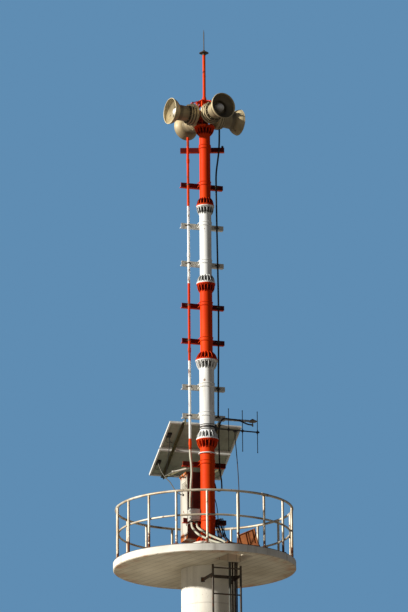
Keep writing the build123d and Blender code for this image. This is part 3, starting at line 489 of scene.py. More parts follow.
def solarLaminate(look):
    # dark cells with bus bars towards the sky, a grey-olive backing sheet underneath
    finish = Finish("solarLaminate")
    tilt = math.radians(look["tilt"])
    top = behind(look["side"], look["out"], look["top"])
    slope = -barFront * math.cos(tilt) - Vector((0, 0, math.sin(tilt)))
    normal = -barFront * math.sin(tilt) + Vector((0, 0, math.cos(tilt)))
    sideways = finish.along(tuple(barSide)) - top.dot(barSide)
    down = finish.along(tuple(slope)) - top.dot(slope)
    onPanel = down.math("MODULO", look["width"] + look["gap"]) - look["width"] / 2
    cellLines = finish.seam(sideways + look["cell"][0] / 2, look["cell"][0], 0.004)
    cellLines = cellLines.math("MAXIMUM", finish.seam(onPanel, look["cell"][1], 0.004))
    bus = finish.seam(onPanel + look["cell"][1] / 4, look["cell"][1] / 2, 0.0016)
    fingers = finish.seam(sideways, 0.004, 0.0008)
    margin = finish.ease(sideways.math("ABSOLUTE"), 0.590, 0.593)
    shimmer = finish.cells(60)
    cell = finish.mix(shimmer, paint(22, 30, 58), paint(38, 50, 92))
    cell = finish.mix(fingers * 0.25, cell, paint(120, 126, 140))
    cell = finish.mix(bus, cell, paint(190, 192, 196))
    cell = finish.mix(cellLines.math("MAXIMUM", margin), cell, paint(214, 214, 208))
    dust = finish.ease(finish.noise(4, 6, 0.7), 0.4, 0.75)
    cell = finish.mix(dust * 0.3, cell, paint(150, 140, 120))
    backing = finish.mix(dust, paint(172, 180, 162), paint(146, 154, 138))
    backing = finish.mix(cellLines * 0.22, backing, paint(104, 104, 92))
    runs = finish.ease(finish.noise(10, 5, 0.6, (1, 1, 0.2)), 0.5, 0.75)
    backing = finish.mix(runs * 0.35, backing, paint(106, 100, 82))
    sky = finish.ease(finish.along(tuple(normal), finish.facing), -0.1, 0.1)
    colour = finish.mix(sky, backing, cell)
    return finish.shade(colour, 0.6 - sky * 0.45 + dust * 0.2, 0.0, bus * sky - cellLines * 0.3, 0.0003)


finishes = {
    "column": columnConcrete(concreteLook),
    "slab": slabConcrete(concreteLook),
    "rails": galvanised("agedZinc"),
    "hatch": rustedSteel("rustedPlate"),
    "ladder": darkSteel("ladderSteel"),
    "dark": darkSteel("darkSteel"),
    "red": paintedSteel("redMastPaint", redPaint),
    "white": paintedSteel("whiteMastPaint", whitePaint),
    "redBar": barPaint("redBarPaint", redPaint, paint(70, 6, 8)),
    "whiteBar": barPaint("whiteBarPaint", whitePaint, paint(214, 212, 202)),
    "cabinet": cabinetEnamel("cabinetPaint", cabinetPaint, tuple(barFront)),
    "horn": hornPaint(hornLook),
    "riser": bandedPipe(),
    "hose": plastic("creamHose", paint(194, 192, 172), paint(142, 136, 110), 0.5),
    "cable": rubber("blackSheath", paint(24, 22, 22), paint(62, 38, 28), 19.0),
    "duct": plastic("darkDuct", paint(74, 76, 68), paint(48, 46, 40), 0.6),
    "frame": plastic("panelFrame", paint(226, 226, 220), paint(196, 194, 184), 0.4),
    "rack": bareMetal("rackAngle", paint(140, 136, 104), paint(104, 100, 76), 0.5),
    "strut": plastic("paleStrut", paint(214, 210, 198), paint(160, 150, 128), 0.5),
    "lead": plastic("greyLead", paint(96, 94, 84), paint(66, 62, 54), 0.6),
    "antenna": bareMetal("dullAntenna", paint(92, 88, 86), paint(64, 60, 58), 0.5),
    "box": plastic("boxEnamel", paint(196, 194, 186), paint(150, 142, 124), 0.45),
    "sensor": plastic("sensorShell", paint(122, 110, 98), paint(84, 72, 60), 0.45),
    "cells": solarLaminate(panelLook),
    "black": plastic("blackPlastic", paint(34, 34, 35), paint(70, 66, 60), 0.5),
    "aluminium": bareMetal("bareAluminium", paint(196, 196, 194), paint(150, 150, 150)),
}

nodeFinish = {
    "column": "column", "platform_slab": "slab", "mast_plinth": "column",
    "rail_posts": "rails", "top_rail": "rails", "mid_rail": "rails",
    "hatch_frame": "hatch", "hatch_leaf_right": "hatch", "hatch_leaf_left": "hatch",
    "ladder_stringers": "ladder", "ladder_rungs": "ladder", "ladder_brackets": "ladder",
    "mast_section_1": "red", "mast_section_2": "white", "mast_section_3": "red",
    "mast_section_4": "white", "mast_section_5": "red",
    "crossbars_red": "redBar", "crossbars_white": "whiteBar",
    "bar_clamps_red": "red", "bar_clamps_white": "white",
    "horn_head": "red", "horn_straps": "red", "top_pole": "red",
    "horn_drivers": "horn", "horn_bells": "horn",
    "riser_conduit": "riser", "flexible_conduits": "hose", "column_conduit": "duct", "panel_lead": "lead",
    "column_cable": "cable", "feeder_cable": "cable", "signal_cables": "cable",
    "cabinet": "cabinet", "junction_box": "box", "cabinet_uprights": "dark",
    "pole_cap": "dark", "lightning_rod": "dark", "panel_rack": "rack",
    "panel_frames": "frame", "panel_laminates": "cells", "panel_terminal_boxes": "black",
    "sensor_arm": "aluminium", "antenna": "antenna", "sensor_head": "sensor",
}

for nodeName, finishName in nodeFinish.items():
    cadNodes[nodeName].data.materials.clear()
    cadNodes[nodeName].data.materials.append(finishes[finishName])
print("finishes made and put on the frame:", len(nodeFinish))


up = Vector((0, 0, 1))


def facing(direction):
    # a turn whose z points along a direction
    return Vector(direction).to_track_quat("Z", "Y").to_matrix()


def fronting(front):
    # a turn whose y points along a level direction and whose z points up
    side = Vector(front).cross(up)
    return Matrix((side, front, up)).transposed()


def circle(sides, radius, first=0.0, last=360.0):
    count = sides if last - first == 360 else sides + 1
    angles = [math.radians(first + (last - first) * k / sides) for k in range(count)]
    return [(radius * math.cos(a), radius * math.sin(a)) for a in angles]


class Shape:
    # gathers closed solids for one piece
    def __init__(self):
        self.mesh = bmesh.new()

    def skin(self, rings, closed=False):
        rows = [[self.mesh.verts.new(point) for point in ring] for ring in rings]
        pairs = list(zip(rows, rows[1:])) + ([(rows[-1], rows[0])] if closed else [])
        for first, second in pairs:
            for k in range(max(len(first), len(second))):
                corners = [first[k % len(first)], first[(k + 1) % len(first)],
                           second[(k + 1) % len(second)], second[k % len(second)]]
                corners = list(dict.fromkeys(corners))
                if len(corners) > 2:
                    self.mesh.faces.new(corners)
        for row in (rows[0], rows[-1]):
            if len(row) > 2 and not closed:
                self.mesh.faces.new(row)

    def box(self, middle, size, turn):
        x, y, z = [v / 2 for v in size]
        self.prism([(-x, -y), (x, -y), (x, y), (-x, y)], middle, turn, 2 * z)

    def prism(self, outline, middle, turn, height):
        ends = (-height / 2, height / 2)
        self.skin([[middle + turn @ Vector((x, y, h)) for x, y in outline] for h in ends])

    def lathe(self, profile, origin, axis=up, sides=24, closed=False):
        # the profile holds pairs: how far along the axis, and the radius there
        turn = facing(axis)
        rings = []
        for reach, radius in profile:
            ring = circle(sides, radius) if radius > 1e-6 else [(0, 0)]
            rings.append([origin + turn @ Vector((x, y, reach)) for x, y in ring])
        self.skin(rings, closed)

    def hoop(self, origin, axis, radius, wire, sides=24, around=8):
        profile = [(y, radius + x) for x, y in circle(around, wire)]
        self.lathe(profile, origin, axis, sides, True)

    def sweep(self, points, radii, sides=10):
        last = len(points) - 1
        side = (points[1] - points[0]).orthogonal()
        rings = []
        for k, point in enumerate(points):
            heading = (points[min(k + 1, last)] - points[max(k - 1, 0)]).normalized()
            side = (side - heading * side.dot(heading)).normalized()
            other = heading.cross(side)
            radius = radii[k] if isinstance(radii, list) else radii
            rings.append([point + side * x + other * y for x, y in circle(sides, radius)])
        self.skin(rings)

    def data(self, name):
        bmesh.ops.recalc_face_normals(self.mesh, faces=self.mesh.faces)
        mesh = bpy.data.meshes.new(name)
        self.mesh.to_mesh(mesh)
        self.mesh.free()
        mesh.shade_smooth()
        mesh.set_sharp_from_angle(angle=math.radians(38))
        return mesh

    def piece(self, name, finish, body="tower", *replaced):
        mesh = self.data(name)
        mesh.materials.append(finishes[finish])
        settle(addObject(name, mesh), finish, body, *replaced)


def settle(thing, finish, body, *replaced):
    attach(thing, body)
    if replaced:
        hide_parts(*replaced)


def repeatTree(name, model, finish):
    # a copy of the model on each point, turned and sized by the point's own attributes
    tree = bpy.data.node_groups.new(name, "GeometryNodeTree")
    tree.interface.new_socket("Places", in_out="INPUT", socket_type="NodeSocketGeometry")
    size = tree.interface.new_socket("Size", in_out="INPUT", socket_type="NodeSocketFloat")
    tree.interface.new_socket("Copies", in_out="OUTPUT", socket_type="NodeSocketGeometry")
    given = tree.nodes.new("NodeGroupInput")
    source = tree.nodes.new("GeometryNodeObjectInfo")
    source.inputs["Object"].default_value = model
    turn = tree.nodes.new("GeometryNodeInputNamedAttribute")
    turn.data_type = "FLOAT_VECTOR"
    turn.inputs["Name"].default_value = "turn"
    copies = tree.nodes.new("GeometryNodeInstanceOnPoints")
    whole = tree.nodes.new("GeometryNodeRealizeInstances")
    coat = tree.nodes.new("GeometryNodeSetMaterial")
    coat.inputs["Material"].default_value = finishes[finish]
    result = tree.nodes.new("NodeGroupOutput")
    tree.links.new(given.outputs["Places"], copies.inputs["Points"])
    tree.links.new(source.outputs["Geometry"], copies.inputs["Instance"])
    tree.links.new(turn.outputs["Attribute"], copies.inputs["Rotation"])
    tree.links.new(given.outputs["Size"], copies.inputs["Scale"])
    tree.links.new(copies.outputs["Instances"], whole.inputs["Geometry"])
    tree.links.new(whole.outputs["Geometry"], coat.inputs["Geometry"])
    tree.links.new(coat.outputs["Geometry"], result.inputs["Copies"])
    return tree, size.identifier


def repeated(name, shape, places, finish, size=1.0, body="tower"):
    # places holds pairs of a point and a turn
    model = addObject(name + "Model", shape.data(name + "Model"))
    dots = bpy.data.meshes.new(name)
    dots.from_pydata([tuple(point) for point, turn in places], [], [])
    turns = dots.attributes.new("turn", "FLOAT_VECTOR", "POINT")
    for k, (point, turn) in enumerate(places):
        turns.data[k].vector = turn.to_euler()
    thing = addObject(name, dots)
    tree, sizeKey = repeatTree(name + "Tree", model, finish)
    modifier = thing.modifiers.new("copies", "NODES")
    modifier.node_group = tree
    modifier[sizeKey] = size
    evaluated = thing.evaluated_get(bpy.context.evaluated_depsgraph_get())
    mesh = bpy.data.meshes.new_from_object(evaluated)
    thing.modifiers.clear()
    thing.data = mesh
    bpy.data.objects.remove(model)
    settle(thing, finish, body)


def hexNut():
    # a washer, a nut and the end of its bolt, for a 16 mm bolt; each piece scales it by its own "nut"
    shape = Shape()
    shape.lathe([(0, 0), (0, 0.0155), (0.003, 0.0155), (0.003, 0)], Vector(), up, 12)
    shape.lathe([(0.003, 0), (0.003, 0.0138), (0.016, 0.0138), (0.016, 0)], Vector(), up, 6)
    shape.lathe([(0.016, 0), (0.016, 0.008), (0.023, 0.008), (0.025, 0.006), (0.025, 0)], Vector(), up, 8)
    return shape


def weldBead(radius, wire=0.0035):
    shape = Shape()
    shape.hoop(Vector(), up, radius, wire, 14, 5)
    return shape


def cableGland():
    # for a cable of radius 1
    shape = Shape()
    shape.lathe([(0, 0), (0, 2.0), (0.9, 2.0), (0.9, 0)], Vector(), up, 6)
    shape.lathe([(0.9, 0), (0.9, 1.75), (1.7, 1.65), (2.2, 1.1), (2.2, 0)], Vector(), up, 12)
    return shape


def pipeClip(radius):
    # a saddle strap over a pipe at the origin; the wall that it is screwed to lies at y = -radius
    outer, inner, ear = radius + 0.0035, radius + 0.0006, radius + 0.026
    foot, top = -radius, -radius + 0.003
    outline = [(ear, foot), (ear, top), (outer, top)] + circle(10, outer, 0, 180)
    outline += [(-outer, top), (-ear, top), (-ear, foot), (-inner, foot)] + circle(10, inner, 180, 0)
    outline += [(inner, foot)]
    shape = Shape()
    shape.prism(outline, Vector(), Matrix.Identity(3), 0.02)
    for x in (-1, 1):
        spot = Vector((x * (radius + 0.015), top, 0))
        shape.lathe([(0, 0), (0, 0.006), (0.004, 0.006), (0.004, 0)], spot, Vector((0, 1, 0)), 6)
    return shape


mast = {"tops": [2.134, 3.445, 4.732, 6.044, 7.400], "tubes": [0.115, 0.118, 0.100, 0.095, 0.089],
        "flanges": [0.178, 0.180, 0.153, 0.146, 0.166], "plate": 0.016, "topPlate": 0.008, "bolts": 16,
        "foot": 15.430, "base": 15.446, "anchorRing": 0.172, "wall": 0.008, "footFlange": 0.215,
        "collar": 15.890, "collarHeight": 0.018, "collarRadius": 0.121, "collarWeld": 0.1165,
        "finHeight": 0.130, "finInset": 0.008, "finLip": 0.014, "finBulge": 0.011, "finThickness": 0.009,
        "finRoot": 0.002, "ring": 16.905, "ringRadius": 0.137, "ringWire": 0.0085, "ringTabs": 6,
        "tab": (0.012, 0.030, 0.014), "tabReach": 0.124, "nut": 0.85, "anchorNut": 1.15}
bars = {"heights": [0.830, 1.760, 2.550, 3.030, 3.800, 4.390, 5.100, 5.740, 6.430], "topBar": 7.060,
        "white": [2.550, 3.030, 5.100, 5.740], "front": 0.128, "thickness": 0.007, "rod": 0.006,
        "rodGap": 0.0005, "rodEnd": 0.026, "grip": 0.029, "nut": 0.72, "knobSide": 0.288, "knobOut": 0.012}


def finShape(tube, flange, look):
    # a bowl-shaped stiffener that stands on a flange at the origin; x runs outward and z away from the flange
    rim, height, lip = flange - look["finInset"], look["finHeight"], look["finLip"]
    outline = [(tube - look["finRoot"], 0), (rim, 0)]
    for k in range(9):
        t = k / 8
        bulge = 4 * t * (1 - t) * look["finBulge"]
        outline.append((rim + (tube - rim) * t + bulge, lip + (height - lip) * t + bulge * 0.5))
    outline.append((tube - look["finRoot"], height))
    shape = Shape()
    turn = Matrix(((1, 0, 0), (0, 0, -1), (0, 1, 0)))
    shape.prism(outline, Vector(), turn, look["finThickness"])
    return shape


def mastSections(look):
    # five tubes with a flange at each end, and full, bowl-shaped fins at every flange
    bottom, lower = look["foot"], look["footFlange"]
    for k, (rise, tube) in enumerate(zip(look["tops"], look["tubes"])):
        top, upper, plate = datum + rise, look["flanges"][k], look["plate"]
        colour = "white" if k % 2 else "red"
        inner = tube - look["wall"]
        profile = [(bottom, inner), (bottom, lower), (bottom + plate, lower), (bottom + plate, tube)]
        if k == 0:
            low, high = look["collar"], look["collar"] + look["collarHeight"]
            profile += [(low, tube), (low, look["collarRadius"]), (high, look["collarRadius"]), (high, tube)]
        profile += [(top - plate, tube), (top - plate, upper), (top, upper), (top, inner)]
        section = Shape()
        section.lathe(profile, Vector(), up, 64, True)
        section.piece(f"mastTube{k + 1}", colour, "tower", f"mast_section_{k + 1}")
        for end, z, flange, flip in (("Foot", bottom + plate, lower, 1), ("Head", top - plate, upper, -1)):
            places = []
            for n in range(look["bolts"]):
                turn = Matrix.Rotation(math.radians(360 * (n + 0.5) / look["bolts"]), 3, "Z")
                if flip < 0:
                    turn = turn @ Matrix.Rotation(math.pi, 3, "X")
                places.append((Vector((0, 0, z)), turn))
            repeated(f"mastFins{end}{k + 1}", finShape(tube, flange, look), places, colour)
        bottom, lower = top, upper


def mastFasteners(look):
    nuts = {"red": [], "white": []}
    for k, top in enumerate(look["tops"]):
        last = k == len(look["tops"]) - 1
        tube = max(look["tubes"][k], look["tubes"][min(k + 1, len(look["tubes"]) - 1)])
        boltCircle = (tube + look["flanges"][k]) / 2 + 0.005
        lower, upper = ("red", "white") if k % 2 == 0 else ("white", "red")
        over = look["topPlate"] if last else look["plate"]
        for n in range(look["bolts"]):
            spot = outward(360 * n / look["bolts"], boltCircle, datum + top)
            nuts["red" if last else upper].append((spot + up * over, facing(up)))
            nuts[lower].append((spot - up * look["plate"], facing(-up)))
    for colour, places in nuts.items():
        repeated(f"flangeBolts{colour.capitalize()}", hexNut(), places, colour, look["nut"])
    anchors = [(outward(360 * n / look["bolts"], look["anchorRing"], look["base"]), facing(up))
               for n in range(look["bolts"])]
    repeated("anchorNuts", hexNut(), anchors, "dark", look["anchorNut"])
    ring = Shape()
    lean = Vector((0.03, 0, 1))
    ring.hoop(Vector((0, 0, look["ring"])), lean, look["ringRadius"], look["ringWire"], 40, 10)
    for k in range(look["ringTabs"]):
        azimuth = 30 + 360 / look["ringTabs"] * k
        spot = outward(azimuth, look["tabReach"], look["ring"])
        ring.box(spot, look["tab"], fronting(outward(azimuth, 1)))
    ring.piece("mastRing", "white")
    seams = Shape()
    for z in (look["collar"] - 0.001, look["collar"] + look["collarHeight"] + 0.001):
        seams.hoop(Vector((0, 0, z)), up, look["collarWeld"], 0.0035, 40, 6)
    seams.piece("collarWelds", "red")


def barFasteners(look):
    # a U-bolt above and below each clamp, with nuts behind the crossbar
    rods = {"red": Shape(), "white": Shape()}
    nuts = []
    levels = [(z, barYaw) for z in look["heights"]] + [(look["topBar"], 0)]
    for z, yaw in levels:
        colour = "white" if z in look["white"] else "red"
        tube = next(radius for radius, top in zip(mast["tubes"], mast["tops"]) if z < top)
        tube += look["rod"] + look["rodGap"]
        turn = Matrix.Rotation(math.radians(yaw), 3, "Z")
        end = look["front"] + look["thickness"] + look["rodEnd"]
        for lift in (-look["grip"], look["grip"]):
            centre = Vector((0, 0, datum + z + lift))
            path = [(-tube, end)] + circle(20, tube, 180, 360) + [(tube, end)]
            rods[colour].sweep([centre + turn @ Vector((x, y, 0)) for x, y in path], look["rod"], 8)
            for x in (-tube, tube):
                spot = centre + turn @ Vector((x, look["front"] + look["thickness"], 0))
                nuts.append((spot, facing(turn @ Vector((0, 1, 0)))))
    for colour, shape in rods.items():
        shape.piece(f"uBolts{colour.capitalize()}", colour)
    knob = Shape()
    spot = Vector((look["knobSide"], look["front"] + look["knobOut"], datum + look["topBar"]))
    knob.lathe([(0, 0), (0, 0.009), (0.040, 0.009), (0.042, 0.018), (0.066, 0.018), (0.070, 0.010),
                (0.070, 0)], spot, up, 14)
    knob.piece("topBarKnob", "black")
    repeated("uBoltNuts", hexNut(), nuts, "dark", look["nut"])


mastSections(mast)
mastFasteners(mast)
barFasteners(bars)
print("mast sections, bolts, ring and U-bolts made")

pipes = {"riserSide": -0.255, "riserRadius": 0.021, "couplings": [17.05, 18.60, 20.20, 21.80],
         "feederSides": [0.226, 0.232, 0.240, 0.248, 0.242, 0.230, 0.224], "feederRadius": 0.014,
         "gap": 0.0003}


def pipeFittings(look):
    turn = fronting(barFront)
    back = bars["front"] - look["riserRadius"]
    places = [(behind(look["riserSide"], back, z), turn) for z in bars["heights"][2:]]
    repeated("riserClips", pipeClip(look["riserRadius"]), places, "dark")
    back = bars["front"] - look["feederRadius"]
    pairs = zip(look["feederSides"], reversed(bars["heights"][2:]))
    places = [(behind(side, back, z), turn) for side, z in pairs]
    repeated("feederClips", pipeClip(look["feederRadius"] + look["gap"]), places, "dark")
    sleeves = Shape()
    rim = look["riserRadius"] + 0.001
    wide = look["riserRadius"] + 0.005
    for z in look["couplings"]:
        foot = behind(look["riserSide"], bars["front"] - look["riserRadius"] - look["gap"], z - datum)
        profile = [(0, 0), (0, rim), (0.003, wide), (0.070, wide), (0.073, rim), (0.073, 0)]
        sleeves.lathe(profile, foot, up, 20)
    sleeves.piece("riserSleeves", "riser")


pipeFittings(pipes)

hoses = {"radius": 0.020, "groove": 0.88, "pitch": 0.014, "gland": 0.0155,
         "slotAzimuth": 20.3, "conduit": (0.6843, 0.104), "cable": (0.6843, 0.150), "top": 15.150,
         "boxSide": -0.212, "boxBack": 0.063, "boxBottom": 0.805, "riserEnd": (1.985, 1.880),
         "tail": [(-0.240, 0.090, 1.740), (-0.243, 0.066, 1.590), (-0.262, 0.050, 1.430),
                  (-0.272, 0.046, 1.270), (-0.278, 0.054, 1.120), (-0.278, 0.054, 0.995)],
         "runs": [{"side": -0.042, "drop": 0.085, "end": "conduit", "above": 0.100,
                   "near": (-0.085, 0.075, 0.150),
                   "spots": [(-0.226, -0.130, 0.640), (-0.165, -0.232, 0.545), (-0.062, -0.312, 0.470),
                             (0.060, -0.385, 0.400), (0.168, -0.458, 0.348)]},
                  {"side": 0.042, "drop": 0.080, "end": "cable", "above": 0.112,
                   "near": (-0.078, 0.090, 0.176),
                   "spots": [(-0.132, -0.112, 0.650), (-0.072, -0.205, 0.590), (0.014, -0.282, 0.520),
                             (0.128, -0.352, 0.450), (0.228, -0.424, 0.394)]}]}


def softPath(points, step):
    # points a step apart on a smooth curve that leaves its first point and ends in its last
    curve = bpy.data.curves.new("hosePath", "CURVE")
    curve.dimensions = "3D"
    curve.resolution_u = 20
    spline = curve.splines.new("NURBS")
    spline.points.add(len(points) - 1)
    for knot, point in zip(spline.points, points):
        knot.co = (*point, 1)
    spline.order_u = 3
    spline.use_endpoint_u = True
    holder = addObject("hosePath", curve)
    mesh = bpy.data.meshes.new_from_object(holder.evaluated_get(bpy.context.evaluated_depsgraph_get()))
    knots = [vertex.co.copy() for vertex in mesh.vertices]
    bpy.data.objects.remove(holder)
    bpy.data.meshes.remove(mesh)
    path = [knots[0]]
    left = step
    for start, end in zip(knots, knots[1:]):
        run = end - start
        while run.length > left:
            start = start + run.normalized() * left
            path.append(start)
            left = step
            run = end - start
        left -= run.length
    return path + [knots[-1]]


def ribbedHoses(look):
    # one from the riser's foot to the junction box, and two from the box to the platform's slot
    riserBack = bars["front"] - pipes["riserRadius"] - pipes["gap"]
    down = Vector((0, 0, -1))
    tail = [(pipes["riserSide"], riserBack, z) for z in look["riserEnd"]] + look["tail"]
    routes = [[behind(*spot) for spot in tail]]
    glands = []
    for run in look["runs"]:
        start = behind(look["boxSide"] + run["side"], look["boxBack"], look["boxBottom"])
        end = across(look["slotAzimuth"], *look[run["end"]], look["top"])
        routes.append([start, start + down * run["drop"]] + [raised(spot) for spot in run["spots"]]
                      + [end + Vector(run["near"]), end - down * run["above"], end])
        glands.append((start + up * 0.006, facing(down)))
    glands.append((routes[0][-1] - up * 0.006, facing(up)))
    shape = Shape()
    for route in routes:
        path = softPath(route, look["pitch"] / 4)
        radii = [look["radius"] * (1.0 if k % 4 in (0, 1) else look["groove"]) for k in range(len(path))]
        shape.sweep(path, radii, 12)
    shape.piece("ribbedHoses", "hose", "tower", "flexible_conduits")
    repeated("hoseGlands", cableGland(), glands, "black", look["gland"])


ribbedHoses(hoses)
print("pipes and hoses fitted")

rail = {"posts": 18, "first": 2, "ring": 1.400, "offset": -0.060, "deck": 15.130, "post": 0.019,
        "foot": 0.028, "plate": 0.008, "top": 0.854, "mid": 0.470, "sleeves": [43, 163, 283],
        "sleeveRadius": 0.0225, "footWeld": 0.0205, "topWeld": 0.0200, "midWeld": 0.010, "nut": 0.48}


def railFittings(look):
    nuts, feet, heads, mids = [], [], [], []
    centre = Vector((look["offset"], 0, look["deck"]))
    for k in range(look["posts"]):
        azimuth = look["first"] + 360 * k / look["posts"]
        place = centre + outward(azimuth, look["ring"])
        for out in (-1, 1):
            for side in (-1, 1):
                corner = across(azimuth, out * look["foot"], side * look["foot"], look["plate"])
                nuts.append((place + corner, facing(up)))
        feet.append((place + up * (look["plate"] + 0.001), facing(up)))
        heads.append((place + up * (look["top"] - 0.020), facing(up)))
        inside = centre + outward(azimuth, look["ring"] - look["post"]) + up * look["mid"]
        mids.append((inside + outward(azimuth, -0.001), facing(outward(azimuth, 1))))
    repeated("railFootNuts", hexNut(), nuts, "rails", look["nut"])
    repeated("railFootWelds", weldBead(look["footWeld"]), feet, "rails")
    repeated("railTopWelds", weldBead(look["topWeld"], 0.003), heads, "rails")
    repeated("railMidWelds", weldBead(look["midWeld"], 0.004), mids, "rails")
    sleeves = Shape()
    for azimuth in look["sleeves"]:
        path = [centre + outward(azimuth + k, look["ring"], look["top"]) for k in range(-3, 4)]
        sleeves.sweep(path, look["sleeveRadius"], 16)
    sleeves.piece("railSleeves", "rails")


ladder = {"azimuth": 20.3, "reach": 0.824, "half": 0.232, "topRung": 14.870, "spacing": 0.417, "rungs": 35,
          "rung": 0.0115, "column": 0.435, "lowest": 0.925, "highest": 14.765, "levels": 6, "bar": 0.664,
          "weldInset": 0.0175, "plate": (0.060, 0.010, 0.076), "boltSide": 0.019, "boltRise": 0.027,
          "nut": 0.5, "conduit": 0.0200, "clipHeight": 0.018, "bend": [15.06, 14.96, 14.84, 14.70],
          "cables": [(0.150, 0.013), (0.188, 0.009), (0.208, 0.009), (0.228, 0.009)], "bottom": 0.02}


def ladderFittings(look):
    sideways = outward(look["azimuth"] + 90, 1)
    beads = []
    for k in range(look["rungs"]):
        z = look["topRung"] - k * look["spacing"]
        for hand in (-1, 1):
            spot = across(look["azimuth"], look["reach"], hand * (look["half"] - look["weldInset"]), z)
            beads.append((spot, facing(sideways)))
    repeated("rungWelds", weldBead(look["rung"], 0.0032), beads, "ladder")
    swing = math.degrees(math.asin(look["half"] / look["column"]))
    plates, nuts, conduits, levels = Shape(), [], [], []
    ahead = fronting(outward(look["azimuth"], 1))
    step = (look["highest"] - look["lowest"]) / (look["levels"] - 1)
    for k in range(look["levels"]):
        z = look["lowest"] + k * step
        for hand in (-1, 1):
            azimuth = look["azimuth"] + hand * swing
            turn = fronting(outward(azimuth, 1))
            plates.box(outward(azimuth, look["column"] + 0.002, z), look["plate"], turn)
            for x in (-look["boltSide"], look["boltSide"]):
                for lift in (-look["boltRise"], look["boltRise"]):
                    spot = outward(azimuth, look["column"] + 0.007, z + lift) + turn @ Vector((x, 0, 0))
                    nuts.append((spot, facing(outward(azimuth, 1))))
        conduits.append((across(look["azimuth"], *hoses["conduit"], z), ahead))
        levels.append(z)
    plates.piece("ladderPlates", "ladder")
    repeated("ladderPlateNuts", hexNut(), nuts, "dark", look["nut"])
    repeated("conduitClips", pipeClip(look["conduit"]), conduits, "dark")
    slim, runs = Shape(), Shape()
    for side, radius in look["cables"]:
        # the first cable comes with the frame, and the others are made here
        isOwn = side == look["cables"][0][0]
        slot = hoses["cable"][0]
        outer, inner = radius + 0.002, radius + 0.0004
        reach = slot if isOwn else look["bar"] + radius
        foot = look["bar"] - reach
        for z in levels:
            outline = circle(10, outer, 0, 180) + [(-outer, foot), (-inner, foot)]
            outline += circle(10, inner, 180, 0) + [(inner, foot), (outer, foot)]
            slim.prism(outline, across(look["azimuth"], reach, side, z), ahead, look["clipHeight"])
        if not isOwn:
            # out of the slot, then back against the ladder's bars
            bend = zip((slot, slot, reach, reach), look["bend"])
            run = softPath([across(look["azimuth"], out, side, z) for out, z in bend], 0.03)
            runs.sweep(run + [across(look["azimuth"], reach, side, look["bottom"])], radius, 12)
    slim.piece("cableClips", "dark")
    runs.piece("lowerCables", "cable")


railFittings(rail)
ladderFittings(ladder)
print("rail and ladder fittings made")

hatch = {"azimuth": 29, "out": 1.02, "pins": {"right": 0.185, "left": -0.378}, "pinHeight": 15.1683,
         "open": {"right": 76, "left": 0}, "width": 0.2785, "length": 0.530, "lugEnd": 0.291,
         "thickness": 0.006, "edge": 0.020, "edgeInset": 0.012, "edgeRise": 0.0015, "edgeHeight": 0.005,
         "rivetRows": (0.07, 0.20), "rivets": (-0.21, -0.07, 0.07, 0.21), "gripInset": 0.05, "gripRod": 0.006,
         "grip": [(-0.07, -0.002), (-0.07, 0.024), (-0.06, 0.034), (0.06, 0.034), (0.07, 0.024),
                  (0.07, -0.002)]}


def hatchFittings(look):
    out = outward(look["azimuth"], 1)
    heads = Shape()
    for pin in look["pins"].values():
        for end in (-1, 1):
            spot = across(look["azimuth"], look["out"] + end * look["lugEnd"], pin, look["pinHeight"])
            heads.lathe([(-0.002, 0), (-0.002, 0.0085), (0.004, 0.0085), (0.007, 0.005), (0.007, 0)],
                        spot, out * end, 12)
    heads.piece("hingePinHeads", "hatch")
    for name, inward in (("right", -1), ("left", 1)):
        angle = math.radians(look["open"][name])
        reach = outward(look["azimuth"] + 90, inward * math.cos(angle)) + up * math.sin(angle)
        along = outward(look["azimuth"], -inward)
        normal = reach.cross(along)
        hinge = across(look["azimuth"], look["out"], look["pins"][name], look["pinHeight"])
        face = hinge + normal * (look["thickness"] / 2)
        shape = Shape()
        grip = face + reach * (look["width"] - look["gripInset"])
        shape.sweep([grip + along * x + normal * h for x, h in look["grip"]], look["gripRod"], 10)
        turn = Matrix((reach, along, normal)).transposed()
        edge = face + reach * (look["width"] / 2)
        for end in (-1, 1):
            side = along * (end * (look["length"] / 2 - look["edgeInset"]))
            shape.box(edge + side + normal * look["edgeRise"],
                      (look["width"] - 0.05, look["edge"], look["edgeHeight"]), turn)
        shape.box(face + reach * (look["width"] - look["edgeInset"]) + normal * look["edgeRise"],
                  (look["edge"], look["length"] - 0.004, look["edgeHeight"]), turn)
        shape.piece(f"leafTrim{name.capitalize()}", "hatch", f"hatch_leaf_{name}")
        rivets = []
        for row in look["rivetRows"]:
            for x in look["rivets"]:
                rivets.append((face + reach * row + along * x, facing(normal)))
        dome = Shape()
        dome.lathe([(-0.001, 0), (-0.001, 0.007), (0.002, 0.006), (0.004, 0.003), (0.0045, 0)],
                   Vector(), up, 10)
        repeated(f"leafRivets{name.capitalize()}", dome, rivets, "hatch", 1.0, f"hatch_leaf_{name}")


hatchFittings(hatch)

cabinet = {"left": -0.274, "right": 0.176, "front": 0.211, "back": 0.571, "bottom": 0.560, "top": 1.630,
           "lip": 0.015, "lipHeight": 0.034, "edge": 0.022, "edgeInset": 0.012,
           "slats": 6, "slatTop": 0.13, "slatPitch": 0.024, "uprights": [-0.200, 0.100], "boltRise": 0.022,
           "nut": 0.62, "slatTilt": 35, "hinges": (0.75, 1.11, 1.47), "handle": 1.10, "catches": (0.80, 1.42),
           "sideGlands": [("right", 0.300, 0.905), ("right", 0.360, 0.845), ("left", 0.400, 1.306)],
           "frontGland": (0.156, 1.490), "gland": 0.0095}


